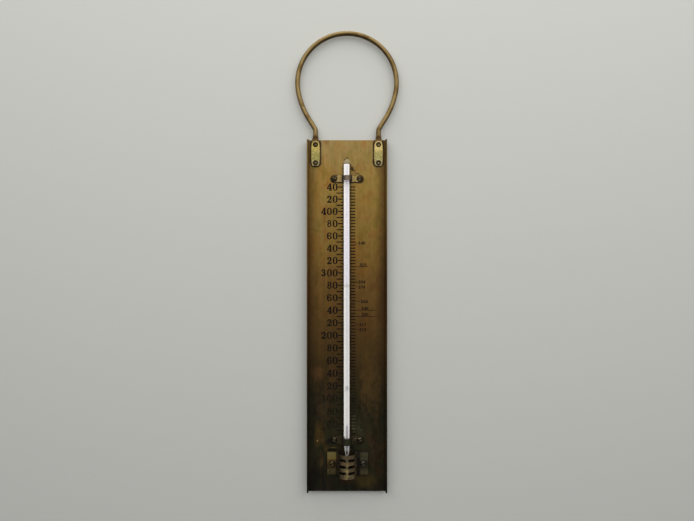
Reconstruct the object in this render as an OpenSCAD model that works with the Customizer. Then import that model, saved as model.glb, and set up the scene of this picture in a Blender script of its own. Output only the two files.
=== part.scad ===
// Hanging thermometer for boiling sugar: a mercury tube on a folded brass scale plate.
//
// Every part is drawn as if the plate lay on its back: X runs across the plate, Y up the plate
// and Z out of its face, with zero at the middle of the plate's lower edge. stand_up() then
// turns it upright, so that the face looks towards -Y and the origin is the point where a hook
// carries the loop. Sizes are in millimetres and temperatures in degrees Fahrenheit.

/* [Scale plate] */
// Width of the plate across its two folded flanges
plate_w = 52.6; // [50:0.2:60]
// Length of the plate
plate_len = 231.5; // [228:0.5:250]
// Thickness of the brass sheet
sheet_t = 1.0; // [0.8:0.1:1.2]
// Height of the folded flanges above the plate's face
flange_h = 4.1; // [3:0.1:6]
// Inside radius of the folds
fold_r = 1.0; // [0.5:0.1:1.5]

/* [Hanging loop] */
// Diameter of the loop's rod
rod_d = 3.2; // [2.8:0.1:3.6]
// Radius of the loop's round top, to the middle of the rod
loop_r = 32.6; // [31:0.2:36]
// Radius of the flatter curve below the round top, to the middle of the rod
side_r = 50; // [45:1:55]
// How far the rod leans where the round top ends
side_lean = 10; // [8:1:14]
// How far the rod leans on its straight run down to the neck
neck_lean = 32; // [28:1:34]
// Distance from the centre line to each leg
leg_x = 20.75; // [20:0.25:21]
// Height of the straight legs above the plate's top edge
leg_h = 5.7; // [5:0.1:8]
// Radius of the bend on top of each leg, to the middle of the rod
leg_bend_r = 4; // [3:0.5:6]
// Width of each flattened pad at its middle
pad_w = 6.2; // [5.6:0.1:6.8]
// Length of each flattened pad
pad_len = 17.2; // [16:0.2:20]
// Thickness of each flattened pad
pad_t = 1.4; // [1.2:0.1:1.8]
// Distance between the two rivets of a pad
rivet_pitch = 12; // [10:0.5:12]

/* [Thermometer tube] */
// Outer diameter of the glass tube
tube_d = 5.5; // [5:0.1:6]
// Height of the tube's axis above the plate's face
tube_axis_z = 3.4; // [3.4:0.1:4]
// Diameter of the bore
bore_d = 0.9; // [0.8:0.05:1]
// Height where the full tube begins above the tapered neck
tube_from = 31; // [30.5:0.1:31.5]
// Height of the full tube's upper end, where its round top begins
tube_to = 215.4; // [214:0.2:218]
// Diameter of the glass bulb
bulb_d = 6.4; // [6:0.1:6.6]
// Height of the bulb's lowest point
bulb_low = 11; // [10.8:0.1:11.4]
// Length of the bulb
bulb_len = 12.2; // [11.8:0.1:12.4]
// Width of the white enamel strip behind the bore
enamel_w = 4.0; // [3.2:0.1:4.2]

/* [Mercury] */
// Temperature that the column shows
column_temp = 60; // [60:1:100]
// Temperature at the lower end of the separated bead
bead_temp = 114.9; // [112:0.1:160]
// Length of the separated bead
bead_len = 2.9; // [2:0.1:4]

/* [Clips and screws] */
// Height of the upper clip's middle
upper_clip_y = 206.1; // [205.8:0.1:208]
// Height of the lower clip's middle
lower_clip_y = 33.9; // [33.6:0.1:36]
// Height of a clip's strap, measured along the tube
strap_h = 3.2; // [2.6:0.1:3.6]
// Height of a clip's ears, measured along the tube
clip_ear_h = 4.4; // [4.4:0.1:5]
// Thickness of a clip's metal
clip_t = 0.45; // [0.4:0.05:0.6]
// Distance from the centre line to a clip's screws
clip_screw_x = 8.4; // [8:0.1:9]
// Diameter of a screw's head
head_d = 4.2; // [3.8:0.1:4.4]
// Height of a screw's domed head
head_h = 1.2; // [1:0.1:1.4]
// Diameter of a screw's shank
shank_d = 2.0; // [1.8:0.1:2.2]

/* [Bulb guard] */
// Outer width of the guard's arch
guard_w = 12.2; // [11.8:0.1:12.6]
// Height of the guard's arch above the plate's face
guard_h = 10.5; // [10:0.1:12]
// Thickness of the guard's metal
guard_t = 0.8; // [0.6:0.1:0.9]
// Height of the guard's lower end
guard_low = 10.8; // [9.6:0.1:10.8]
// Length of the guard along the bulb
guard_len = 15.3; // [15.3:0.1:16.5]
// How far the left ear reaches from the centre line
left_ear_x = 13.0; // [12.6:0.1:14]
// How far the right ear reaches from the centre line
right_ear_x = 14.0; // [13.2:0.1:15]
// Distance from the centre line to the left guard screw
left_guard_screw_x = 9.6; // [9.4:0.1:10]
// Distance from the centre line to the right guard screw
right_guard_screw_x = 10.7; // [10:0.1:11]

/* [Scale] */
// Height of the 60 degree mark
mark_60_y = 44.2; // [43.8:0.1:45]
// Height of the 440 degree mark
mark_440_y = 200.6; // [199:0.1:202]
// How far the middle of the scale stands above an even spacing
mark_bow = 1.0; // [0:0.1:1.4]
// Height of the numerals
numeral_h = 4.6; // [4:0.1:5]
// Distance from one digit to the next
digit_pitch = 3.8; // [3.7:0.1:4]
// Distance from the centre line to the right end of the numerals
numeral_x = 6.3; // [6.2:0.1:7]
// Height of the small index numbers right of the tube
index_h = 1.9; // [1.5:0.1:2.1]

/* [Hidden] */
$fn = 64;

// A hair more than flush, so that a cut goes right through
cut = 0.1;
// A hair less than flush, so that two joined faces don't coincide
step = 0.02;
// Thickness of the slices that a hull spans
slice_t = 0.1;

// Fits
strap_gap = 0.05;
hole_gap = 0.1;
thread_gap = 0.05;
mercury_gap = 0.04;

// Loop: the round top's centre follows from the legs and the three curves that join them
rod_r = rod_d / 2;
neck_x = loop_r * cos(side_lean) - side_r * (cos(side_lean) - cos(neck_lean));
neck_drop = loop_r * sin(side_lean) + side_r * (sin(neck_lean) - sin(side_lean));
bend_end_x = leg_x + leg_bend_r * (1 - cos(neck_lean));
run_len = (neck_x - bend_end_x) / sin(neck_lean);
leg_top_y = plate_len + leg_h;
bend_end_y = leg_top_y + leg_bend_r * sin(neck_lean);
loop_centre_y = bend_end_y + run_len * cos(neck_lean) + neck_drop;
loop_z = pad_t / 2;
joint_gap = 0.05;
hook_y = loop_centre_y + loop_r - rod_r;

// Pads and rivets
pad_over = 0.2;
pad_top_y = plate_len + pad_over;
pad_mid_y = pad_top_y - pad_len / 2;
pad_neck_w = 4.2;
pad_foot_w = 3.9;
pad_bevel = [2.1, 3.9];
pad_widest = 0.9;
flare_len = 4;
flare_top_y = pad_top_y + flare_len;
rivet_mid_drop = 9.15;
rivet_mid_y = plate_len - rivet_mid_drop;
rivet_y = [rivet_mid_y + rivet_pitch / 2, rivet_mid_y - rivet_pitch / 2];
rivet_shank_r = 0.9;
rivet_head_r = 1.2;
rivet_head_h = 0.4;
rivet_sink_r = 1.35;
rivet_sink = 0.9;
rivet_tail_r = 1.7;
rivet_tail_h = 0.7;

// Glass
tube_r = tube_d / 2;
bore_r = bore_d / 2;
bulb_r = bulb_d / 2;
bulb_wall = 0.5;
neck_r = 1.0;
neck_y = 24;
neck_root = 1;
tip_len = 1.9;
tip_root = 0.5;
tip_root_r = 1.3;
tip_end_r = 0.35;
bore_stop = 1.4;
bore_end_y = tube_to - bore_stop;
drop_y = 27;
drop_r = 0.7;

// Enamel: a flat strip behind the bore, drawn thin and narrow in the tapered neck
enamel_t = 0.4;
enamel_z = -1.35;
enamel_over = 0.2;
enamel_to = tube_to + enamel_over;
enamel_tail_y = 25.6;
enamel_tail_w = 1.3;
enamel_tail_t = 0.3;
enamel_tail_z = -1.1;

// Mercury
low_temp = 60;
high_temp = 440;
mercury_r = bore_r - mercury_gap;
thread_from = 33;
head_len = 4;
column_y = mark_y(column_temp);
bead_y = mark_y(bead_temp);

// Clips
arch_r = tube_r + strap_gap;
packing_t = tube_axis_z - tube_r - strap_gap;
packing_w = 3.4;
hole_r = shank_d / 2 + hole_gap;
slot_w = 0.6;
slot_depth = 0.65;
nut_w = 4.2;
nut_t = 1.5;
nut_bore_r = shank_d / 2 + thread_gap;
shank_end = 0.4;

// Guard: three rows of slots, each parted by the spine along the arch's crown
guard_r = guard_w / 2;
guard_mid_z = guard_h - guard_r;
slot_rows = 3;
row_pitch = 4.15;
row_h = 1.9;
first_row = 2.3;
spine_w = 2.4;
slot_reach = 5.9;
slot_floor_z = guard_mid_z + sqrt(guard_r ^ 2 - slot_reach ^ 2);
guard_screw_y = 18.4;

// Scale: black filling stands a hair proud of the plate's face
fill_t = 0.05;
mark_step = 5;
label_step = 20;
mark_inner_x = 2;
label_mark_x = 5.9;
ten_mark_x = 6.9;
five_mark_x = 3.9;
right_mark_x = 5.3;
label_mark_h = 0.5;
mark_h = 0.4;
glyph_h = 10;
glyph_w = 6.6;

// Index marks right of the tube:
// [temperature, where its line ends, how far the line rises, where its number starts]
index_rows = [
    [346, 7.2, 1.0, 7.6], [310, 14.0, 0, 8.4], [284, 7.0, 0.6, 7.6], [278, 7.0, -0.4, 7.6],
    [254, 8.6, 0, 9.2], [240, 19.0, 0, 9.6], [230, 19.0, 0, 9.6], [217, 7.6, 0, 8.2],
    [210, 7.6, -0.4, 8.2]
];
index_line_h = 0.3;
index_start_x = 5.5;
underline_gap = 0.35;

// The bore isn't quite even, so the marks stand a little closer together towards the top
function scale_share(temp) = (temp - low_temp) / (high_temp - low_temp);
function bow_at(share) = 4 * mark_bow * share * (1 - share);
function mark_y(temp) =
    mark_60_y + scale_share(temp) * (mark_440_y - mark_60_y) + bow_at(scale_share(temp));
function label_digits(temp) = temp % 100 == 0 ? [temp / 100, 0, 0] : [(temp % 100) / 10, 0];
function all_digits(temp) = [floor(temp / 100), floor(temp / 10) % 10, temp % 10];

// Turns a part drawn on its back upright, with the hook's point at the origin
module stand_up() {
    translate([0, loop_z, -hook_y]) rotate([90, 0, 0]) children();
}

// Draws a part both left and right of the centre line
module both_sides() {
    children();
    mirror([1, 0, 0]) children();
}

// Lays something drawn up the Z axis along the tube's axis
module along_tube() {
    translate([0, 0, tube_axis_z]) rotate([-90, 0, 0]) children();
}

// Where the six screws stand
module screw_places() {
    for (y = [upper_clip_y, lower_clip_y]) both_sides() translate([clip_screw_x, y]) children();
    translate([-left_guard_screw_x, guard_screw_y]) children();
    translate([right_guard_screw_x, guard_screw_y]) children();
}

// The folded plate

// Section across the plate: the sheet, and on each side a fold that turns it forward
module plate_section() {
    outer_r = fold_r + sheet_t;
    fold_x = plate_w / 2 - outer_r;
    translate([-fold_x, -sheet_t]) square([2 * fold_x, sheet_t]);
    both_sides() {
        translate([plate_w / 2 - sheet_t, fold_r]) square([sheet_t, flange_h - fold_r]);
        translate([fold_x, fold_r]) intersection() {
            difference() {
                circle(r = outer_r);
                circle(r = fold_r);
            }
            translate([0, -outer_r]) square(outer_r);
        }
    }
}

module scale_plate() {
    color([0.46, 0.37, 0.18]) stand_up() difference() {
        translate([0, plate_len, 0]) rotate([90, 0, 0]) linear_extrude(plate_len) plate_section();
        screw_places() translate([0, 0, -sheet_t - cut]) cylinder(r = hole_r, h = sheet_t + 2 * cut);
        both_sides() for (y = rivet_y) {
            translate([leg_x, y, -sheet_t - cut]) {
                cylinder(r = rivet_shank_r + hole_gap, h = sheet_t + 2 * cut);
            }
        }
    }
}

// The hanging loop

// Outline of a flattened end: barrel sides, widest just below the middle, and a bevelled foot
module pad_outline() {
    bulge = (pad_w - pad_neck_w) / 2;
    barrel_r = ((pad_len / 2 + pad_widest) ^ 2 + bulge ^ 2) / (2 * bulge);
    foot = [pad_foot_w / 2, -pad_len / 2];
    bevel = foot + pad_bevel;
    intersection() {
        translate([barrel_r - pad_w / 2, -pad_widest]) circle(r = barrel_r, $fn = 256);
        translate([pad_w / 2 - barrel_r, -pad_widest]) circle(r = barrel_r, $fn = 256);
        polygon([
            foot, bevel, [pad_w, pad_len / 2],
            [-pad_w, pad_len / 2], [-bevel[0], bevel[1]], [-foot[0], foot[1]]
        ]);
    }
}

// Each stretch of rod stops just short of the next, and a ball a hair fatter than the rod joins
// the two.

// A curved stretch about the Z axis, from one angle to another
module rod_curve(radius, from, to) {
    trim = joint_gap / radius * 180 / PI;
    rotate([0, 0, from + trim]) rotate_extrude(angle = to - from - 2 * trim) {
        translate([radius, 0]) circle(r = rod_r);
    }
}

// A straight stretch up the Y axis
module rod_run(length) {
    rotate([-90, 0, 0]) translate([0, 0, joint_gap]) cylinder(r = rod_r, h = length - 2 * joint_gap);
}

module rod_joint() {
    sphere(r = rod_r + step);
}

// The right half of the rod below the round top
module loop_side() {
    translate([0, loop_centre_y, loop_z]) {
        rotate([0, 0, -side_lean]) translate([loop_r, 0, 0]) rod_joint();
        translate((loop_r - side_r) * [cos(side_lean), -sin(side_lean), 0]) {
            rod_curve(side_r, -neck_lean, -side_lean);
        }
    }
    translate([bend_end_x, bend_end_y, loop_z]) rotate([0, 0, -neck_lean]) {
        rod_joint();
        rod_run(run_len);
        translate([0, run_len, 0]) rod_joint();
    }
    translate([leg_x + leg_bend_r, leg_top_y, loop_z]) {
        rod_curve(leg_bend_r, 180 - neck_lean, 180);
        translate([-leg_bend_r, 0, 0]) rod_joint();
    }
    translate([leg_x, flare_top_y - joint_gap - step, loop_z]) {
        rod_run(leg_top_y - flare_top_y + joint_gap);
    }
}

// The forged end of the right leg: a flare from the round rod down to a flat pad
module loop_pad() {
    hull() {
        translate([leg_x, flare_top_y, loop_z]) {
            rotate([90, 0, 0]) cylinder(r = rod_r - step, h = slice_t, $fn = 32);
        }
        translate([leg_x - pad_neck_w / 2 + step, pad_top_y - slice_t, step]) {
            cube([pad_neck_w - 2 * step, slice_t, pad_t - 2 * step]);
        }
    }
    difference() {
        translate([leg_x, pad_mid_y, 0]) linear_extrude(pad_t) pad_outline();
        for (y = rivet_y) translate([leg_x, y, 0]) {
            translate([0, 0, -cut]) cylinder(r = rivet_shank_r + hole_gap, h = pad_t + 2 * cut);
            translate([0, 0, pad_t - rivet_sink]) cylinder(r = rivet_sink_r, h = rivet_sink + cut);
        }
    }
}

module hanging_loop() {
    color([0.55, 0.45, 0.2]) stand_up() {
        translate([0, loop_centre_y, loop_z]) rod_curve(loop_r, -side_lean, 180 + side_lean);
        both_sides() {
            loop_side();
            loop_pad();
        }
    }
}

// A low head sunk in the pad, a shank through the plate and a domed tail behind it
module loop_rivet(side, y) {
    seat_z = pad_t - rivet_sink;
    color([0.3, 0.25, 0.12]) stand_up() translate([side * leg_x, y, 0]) {
        translate([0, 0, -sheet_t]) cylinder(r = rivet_shank_r, h = sheet_t + seat_z);
        translate([0, 0, seat_z]) dome(rivet_head_r, rivet_head_h);
        translate([0, 0, -sheet_t]) mirror([0, 0, 1]) dome(rivet_tail_r, rivet_tail_h);
    }
}

// A cap of a sphere, flat below
module dome(base_r, height) {
    ball_r = (base_r ^ 2 + height ^ 2) / (2 * height);
    intersection() {
        translate([0, 0, height - ball_r]) sphere(r = ball_r);
        translate([-base_r, -base_r, 0]) cube([2 * base_r, 2 * base_r, height]);
    }
}

module upper_left_loop_rivet() loop_rivet(-1, rivet_y[0]);
module lower_left_loop_rivet() loop_rivet(-1, rivet_y[1]);
module upper_right_loop_rivet() loop_rivet(1, rivet_y[0]);
module lower_right_loop_rivet() loop_rivet(1, rivet_y[1]);

// The thermometer tube

// A rod with round ends that stands on the Z axis
module capsule(radius, from, len) {
    translate([0, 0, from + radius]) {
        cylinder(r = radius, h = len - 2 * radius);
        sphere(r = radius);
    }
    translate([0, 0, from + len - radius]) sphere(r = radius);
}

// The enamel strip, along the Z axis with its back towards +Y
module enamel_shape() {
    translate([-enamel_w / 2, -enamel_z - enamel_t, tube_from]) {
        cube([enamel_w, enamel_t, enamel_to - tube_from]);
    }
    hull() {
        translate([-enamel_w / 2, -enamel_z - enamel_t, tube_from]) cube([enamel_w, enamel_t, slice_t]);
        translate([-enamel_tail_w / 2, -enamel_tail_z - enamel_tail_t, enamel_tail_y]) {
            cube([enamel_tail_w, enamel_tail_t, slice_t]);
        }
    }
}

module glass_tube() {
    color([0.85, 0.88, 0.88, 0.4]) stand_up() along_tube() difference() {
        union() {
            translate([0, 0, tube_from]) cylinder(r = tube_r, h = tube_to - tube_from);
            translate([0, 0, tube_to]) sphere(r = tube_r);
            translate([0, 0, tube_to + tube_r - tip_root]) {
                cylinder(r1 = tip_root_r, r2 = tip_end_r, h = tip_len + tip_root);
            }
            translate([0, 0, neck_y]) cylinder(r1 = neck_r, r2 = tube_r, h = tube_from - neck_y);
            translate([0, 0, bulb_low + bulb_len - neck_root]) {
                cylinder(r = neck_r, h = neck_y - bulb_low - bulb_len + neck_root);
            }
            capsule(bulb_r, bulb_low, bulb_len);
        }
        capsule(bulb_r - bulb_wall, bulb_low + bulb_wall, bulb_len - 2 * bulb_wall);
        translate([0, 0, bulb_low + bulb_r]) cylinder(r = bore_r, h = bore_end_y - bulb_low - bulb_r);
        translate([0, 0, drop_y]) sphere(r = drop_r);
        enamel_shape();
    }
}

module enamel_strip() {
    color([0.95, 0.95, 0.93]) stand_up() along_tube() enamel_shape();
}

module bulb_mercury() {
    wall = bulb_wall + mercury_gap;
    color([0.7, 0.71, 0.73]) stand_up() along_tube() {
        capsule(bulb_r - wall, bulb_low + wall, bulb_len - 2 * wall);
        translate([0, 0, bulb_low + bulb_r]) cylinder(r = mercury_r, h = thread_from - bulb_low - bulb_r);
        translate([0, 0, drop_y]) sphere(r = drop_r - mercury_gap);
    }
}

// The stretch of the column between the neck and the head: it lengthens as the head rises
module mercury_thread() {
    color([0.7, 0.71, 0.73]) stand_up() along_tube() {
        translate([0, 0, thread_from]) cylinder(r = mercury_r, h = column_y - head_len - thread_from);
    }
}

module mercury_column_head() {
    color([0.7, 0.71, 0.73]) stand_up() along_tube() {
        translate([0, 0, column_y - head_len]) cylinder(r = mercury_r, h = head_len - mercury_r);
        translate([0, 0, column_y - mercury_r]) sphere(r = mercury_r);
    }
}

module mercury_bead() {
    color([0.7, 0.71, 0.73]) stand_up() along_tube() capsule(mercury_r, bead_y, bead_len);
}

// Clips, screws and nuts

// A strap bent over the tube, with an ear on each side for its screw
module tube_clip(y) {
    color([0.36, 0.32, 0.2]) stand_up() translate([0, y, 0]) {
        difference() {
            union() {
                rotate([90, 0, 0]) translate([0, 0, -strap_h / 2]) linear_extrude(strap_h) {
                    strap_section();
                }
                both_sides() linear_extrude(clip_t) {
                    translate([arch_r, -clip_ear_h / 2]) square([clip_screw_x - arch_r, clip_ear_h]);
                    translate([clip_screw_x, 0]) circle(d = clip_ear_h);
                }
            }
            both_sides() translate([clip_screw_x, 0, -cut]) cylinder(r = hole_r, h = clip_t + 2 * cut);
        }
    }
}

// Outline of a tunnel: a round roof on upright walls, down to a floor
module tunnel(radius, mid_z, floor_z) {
    translate([-radius, floor_z]) square([2 * radius, mid_z - floor_z]);
    intersection() {
        translate([0, mid_z]) circle(r = radius);
        translate([-radius, floor_z]) square(2 * radius + mid_z - floor_z);
    }
}

// Section through a strap: an arch round the tube on two upright legs
module strap_section() {
    difference() {
        tunnel(arch_r + clip_t, tube_axis_z, 0);
        tunnel(arch_r, tube_axis_z, -cut);
    }
}

module upper_clip() tube_clip(upper_clip_y);
module lower_clip() tube_clip(lower_clip_y);

// A slip between the plate and the back of the tube
module packing_slip(y) {
    color([0.5, 0.42, 0.3]) stand_up() {
        translate([-packing_w / 2, y - strap_h / 2, 0]) cube([packing_w, strap_h, packing_t]);
    }
}

module upper_packing() packing_slip(upper_clip_y);
module lower_packing() packing_slip(lower_clip_y);

// A slotted round-head screw on a seat above the plate's face, long enough for its nut
module slotted_screw(x, y, seat_z, slot_turn) {
    color([0.35, 0.31, 0.2]) stand_up() translate([x, y, seat_z]) {
        difference() {
            dome(head_d / 2, head_h);
            rotate([0, 0, slot_turn]) translate([-head_d, -slot_w / 2, head_h - slot_depth]) {
                cube([2 * head_d, slot_w, head_h]);
            }
        }
        translate([0, 0, -seat_z - sheet_t - nut_t - shank_end]) {
            cylinder(d = shank_d, h = seat_z + sheet_t + nut_t + shank_end);
        }
    }
}

module upper_left_clip_screw() slotted_screw(-clip_screw_x, upper_clip_y, clip_t, 82);
module upper_right_clip_screw() slotted_screw(clip_screw_x, upper_clip_y, clip_t, 38);
module lower_left_clip_screw() slotted_screw(-clip_screw_x, lower_clip_y, clip_t, -8);
module lower_right_clip_screw() slotted_screw(clip_screw_x, lower_clip_y, clip_t, 14);
module left_guard_screw() slotted_screw(-left_guard_screw_x, guard_screw_y, guard_t, 32);
module right_guard_screw() slotted_screw(right_guard_screw_x, guard_screw_y, guard_t, 28);

// A hexagon nut on the back of the plate
module back_nut(x, y) {
    color([0.5, 0.42, 0.22]) stand_up() translate([x, y, -sheet_t - nut_t]) difference() {
        cylinder(d = nut_w / cos(30), h = nut_t, $fn = 6);
        translate([0, 0, -cut]) cylinder(r = nut_bore_r, h = nut_t + 2 * cut);
    }
}

module upper_left_clip_nut() back_nut(-clip_screw_x, upper_clip_y);
module upper_right_clip_nut() back_nut(clip_screw_x, upper_clip_y);
module lower_left_clip_nut() back_nut(-clip_screw_x, lower_clip_y);
module lower_right_clip_nut() back_nut(clip_screw_x, lower_clip_y);
module left_guard_nut() back_nut(-left_guard_screw_x, guard_screw_y);
module right_guard_nut() back_nut(right_guard_screw_x, guard_screw_y);

// The bulb guard

// Section through the guard: a round arch on upright legs, with a foot on each side
module guard_section() {
    difference() {
        union() {
            tunnel(guard_r, guard_mid_z, 0);
            translate([-left_ear_x, 0]) square([left_ear_x + right_ear_x, guard_t]);
        }
        tunnel(guard_r - guard_t, guard_mid_z, -cut);
    }
}

module bulb_guard() {
    color([0.42, 0.38, 0.22]) stand_up() difference() {
        translate([0, guard_low + guard_len, 0]) rotate([90, 0, 0]) linear_extrude(guard_len) {
            guard_section();
        }
        for (row = [0 : slot_rows - 1]) {
            row_y = guard_low + guard_len - first_row - row * row_pitch - row_h;
            both_sides() translate([spine_w / 2, row_y, slot_floor_z]) cube([guard_r, row_h, guard_h]);
        }
        for (x = [-left_guard_screw_x, right_guard_screw_x]) {
            translate([x, guard_screw_y, -cut]) cylinder(r = hole_r, h = guard_t + 2 * cut);
        }
    }
}

// The scale

// One line of black filling, from one distance to another right of the centre line
module mark(from_x, to_x, y, height) {
    translate([from_x, y - height / 2, 0]) cube([to_x - from_x, height, fill_t]);
}

module scale_marks() {
    color([0.08, 0.07, 0.06]) stand_up() for (temp = [low_temp : mark_step : high_temp]) {
        is_label = temp % label_step == 0;
        is_ten = temp % 10 == 0;
        left_x = is_label ? label_mark_x : is_ten ? ten_mark_x : five_mark_x;
        height = is_label ? label_mark_h : mark_h;
        mirror([1, 0, 0]) mark(mark_inner_x, left_x, mark_y(temp), height);
        mark(mark_inner_x, right_mark_x, mark_y(temp), mark_h);
    }
}

module index_marks() {
    color([0.08, 0.07, 0.06]) stand_up() for (row = index_rows) {
        start = [index_start_x, mark_y(row[0]) - index_line_h / 2];
        end = [row[1], start[1] + row[2]];
        rise = [0, index_line_h];
        linear_extrude(fill_t) polygon([start, end, end + rise, start + rise]);
    }
}

// A row of digits that starts at zero, on a middle line at zero
module numeral(digits, height) {
    pitch = digit_pitch * height / numeral_h;
    for (i = [0 : len(digits) - 1]) {
        translate([i * pitch, -height / 2, 0]) linear_extrude(fill_t) {
            scale(height / glyph_h) digit(digits[i]);
        }
    }
}

module scale_numerals() {
    color([0.08, 0.07, 0.06]) stand_up() for (temp = [low_temp : label_step : high_temp]) {
        digits = label_digits(temp);
        width = (len(digits) - 1) * digit_pitch + glyph_w * numeral_h / glyph_h;
        translate([-numeral_x - width, mark_y(temp), 0]) numeral(digits, numeral_h);
    }
}

// A number stands at the end of its line, or on it where the line runs under the number
module index_numbers() {
    color([0.08, 0.07, 0.06]) stand_up() for (row = index_rows) {
        lift = row[1] > row[3] ? index_h / 2 + underline_gap : row[2];
        translate([row[3], mark_y(row[0]) + lift, 0]) numeral(all_digits(row[0]), index_h);
    }
}

// Digits, ten units high: thick uprights, thin crowns and feet, round ends on open strokes

// An upright oval with straight sides
module oval(x, low, high, radius) {
    translate([x, low + radius]) circle(r = radius);
    translate([x, high - radius]) circle(r = radius);
    translate([x - radius, low + radius]) square([2 * radius, high - low - 2 * radius]);
}

// The round end of an open stroke
module ball(x, y, radius) {
    translate([x, y]) circle(r = radius);
}

module digit(value) {
    if (value == 0) digit_0();
    if (value == 1) digit_1();
    if (value == 2) digit_2();
    if (value == 3) digit_3();
    if (value == 4) digit_4();
    if (value == 5) digit_5();
    if (value == 6) digit_6();
    if (value == 7) digit_7();
    if (value == 8) digit_8();
}

module digit_0() {
    difference() {
        oval(3.3, 0, 10, 3.3);
        oval(3.3, 0.9, 9.1, 1.4);
    }
}

module digit_1() {
    translate([2.5, 0]) square([2, 10]);
    translate([0.9, 0]) square([5.2, 1]);
    polygon([[2.6, 10], [1.0, 8.6], [1.0, 7.7], [2.6, 8.3]]);
}

module digit_2() {
    difference() {
        translate([3.2, 6.9]) circle(r = 3.1);
        translate([2.4, 6.9]) circle(r = 2.0);
        translate([-1, 3]) square([4.4, 3.9]);
    }
    ball(1.3, 7.4, 1.1);
    polygon([[4.3, 6.9], [6.3, 6.9], [5.8, 5.4], [2.4, 1.6], [0.2, 1.6], [0.2, 0.9], [4.0, 5.4]]);
    translate([0.2, 0]) square([6.1, 1.7]);
    translate([5.4, 0]) square([0.9, 2.9]);
}

module digit_3() {
    difference() {
        translate([3.0, 7.3]) circle(r = 2.7);
        translate([2.4, 7.3]) circle(r = 1.6);
        translate([-1, 3]) square([3.6, 4.6]);
    }
    difference() {
        translate([3.2, 2.95]) circle(r = 2.95);
        translate([2.5, 2.95]) circle(r = 1.75);
        translate([-1, 2.4]) square([3.6, 4.6]);
    }
    ball(1.2, 7.9, 1.0);
    ball(1.2, 2.0, 1.1);
    translate([2.2, 4.75]) square([1.8, 0.9]);
}

module digit_4() {
    difference() {
        polygon([[0, 2.2], [0, 3.3], [3.9, 10], [5.7, 10], [5.7, 2.2]]);
        polygon([[1.4, 3.3], [3.7, 3.3], [3.7, 7.3]]);
    }
    translate([3.7, 0]) square([2, 3]);
    translate([5, 2.2]) square([1.7, 1.1]);
    translate([2.6, 0]) square([4.1, 0.9]);
}

module digit_5() {
    difference() {
        translate([3.2, 3.1]) circle(r = 3.1);
        translate([2.5, 3.1]) circle(r = 1.9);
        translate([-1, 2.6]) square([3.4, 2.2]);
    }
    ball(1.3, 2.2, 1.1);
    polygon([[1.2, 4.7], [3.2, 5.4], [3.2, 6.2], [2.1, 5.9], [2.1, 10], [1.2, 10]]);
    translate([1.2, 8.5]) square([4.6, 1.5]);
}

module digit_6() {
    difference() {
        oval(3.3, 0, 10, 3.3);
        oval(3.3, 0.9, 9.1, 1.4);
        translate([3.3, 3.3]) square([4, 4.6]);
    }
    difference() {
        translate([3.3, 3.1]) circle(r = 3.1);
        oval(3.3, 0.8, 5.4, 1.3);
    }
    ball(5.3, 8.0, 1.1);
}

module digit_7() {
    translate([0.4, 8.4]) square([5.9, 1.6]);
    translate([0.4, 7.2]) square([0.9, 2]);
    polygon([[5.2, 8.6], [6.3, 8.6], [4.0, 0], [1.9, 0]]);
}

module digit_8() {
    difference() {
        union() {
            translate([3.3, 7.4]) circle(r = 2.6);
            translate([3.3, 2.9]) circle(r = 2.9);
        }
        oval(3.3, 5.9, 9.2, 1.1);
        oval(3.3, 0.8, 5.0, 1.3);
    }
}

scale_plate();
hanging_loop();
upper_left_loop_rivet();
lower_left_loop_rivet();
upper_right_loop_rivet();
lower_right_loop_rivet();
glass_tube();
enamel_strip();
bulb_mercury();
mercury_thread();
mercury_column_head();
mercury_bead();
upper_clip();
lower_clip();
upper_packing();
lower_packing();
upper_left_clip_screw();
upper_right_clip_screw();
lower_left_clip_screw();
lower_right_clip_screw();
upper_left_clip_nut();
upper_right_clip_nut();
lower_left_clip_nut();
lower_right_clip_nut();
bulb_guard();
left_guard_screw();
right_guard_screw();
left_guard_nut();
right_guard_nut();
scale_marks();
scale_numerals();
index_marks();
index_numbers();
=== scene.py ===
"""Looks of a hanging sugar thermometer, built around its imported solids.

The solids' frame holds throughout: X runs across the scale, -Y comes out of its face and Z runs up
the tube. Sizes are in millimetres as a maker would write them and turn into metres where a mesh is
made. Places on the plate are given as across, up from its lower edge and out from its face.
"""

from __future__ import annotations

import logging
import math
from dataclasses import dataclass
from enum import Enum
from functools import cached_property
from typing import Sequence

import bmesh
import bpy
from mathutils import Matrix, Vector


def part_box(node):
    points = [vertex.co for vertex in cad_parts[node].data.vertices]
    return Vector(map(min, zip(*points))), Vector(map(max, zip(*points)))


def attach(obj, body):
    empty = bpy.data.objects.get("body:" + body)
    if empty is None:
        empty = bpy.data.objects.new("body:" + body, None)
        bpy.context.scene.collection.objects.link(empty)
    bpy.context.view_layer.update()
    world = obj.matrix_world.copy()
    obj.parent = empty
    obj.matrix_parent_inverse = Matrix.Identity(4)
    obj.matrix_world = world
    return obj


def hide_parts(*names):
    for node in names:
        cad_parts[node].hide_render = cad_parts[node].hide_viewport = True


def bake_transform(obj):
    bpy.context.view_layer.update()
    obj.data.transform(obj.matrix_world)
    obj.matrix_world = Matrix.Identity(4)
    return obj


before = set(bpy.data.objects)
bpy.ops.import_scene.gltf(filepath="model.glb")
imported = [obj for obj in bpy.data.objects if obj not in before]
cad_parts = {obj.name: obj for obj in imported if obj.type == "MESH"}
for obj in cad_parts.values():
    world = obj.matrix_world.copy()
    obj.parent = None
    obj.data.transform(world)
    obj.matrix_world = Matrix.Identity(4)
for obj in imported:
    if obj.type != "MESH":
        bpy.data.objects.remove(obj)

LOG = logging.getLogger("thermometer")
MM = 0.001
SHEET = 1.0
INSTRUMENT = "instrument"

Mesh = bmesh.types.BMesh
Piece = bpy.types.Object
Material = bpy.types.Material
Colour = tuple[float, float, float]
Outline = list[tuple[float, float]]
Stops = Sequence[tuple[float, Colour]]
Rows = tuple[tuple[float, ...], ...]
Value = object


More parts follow.
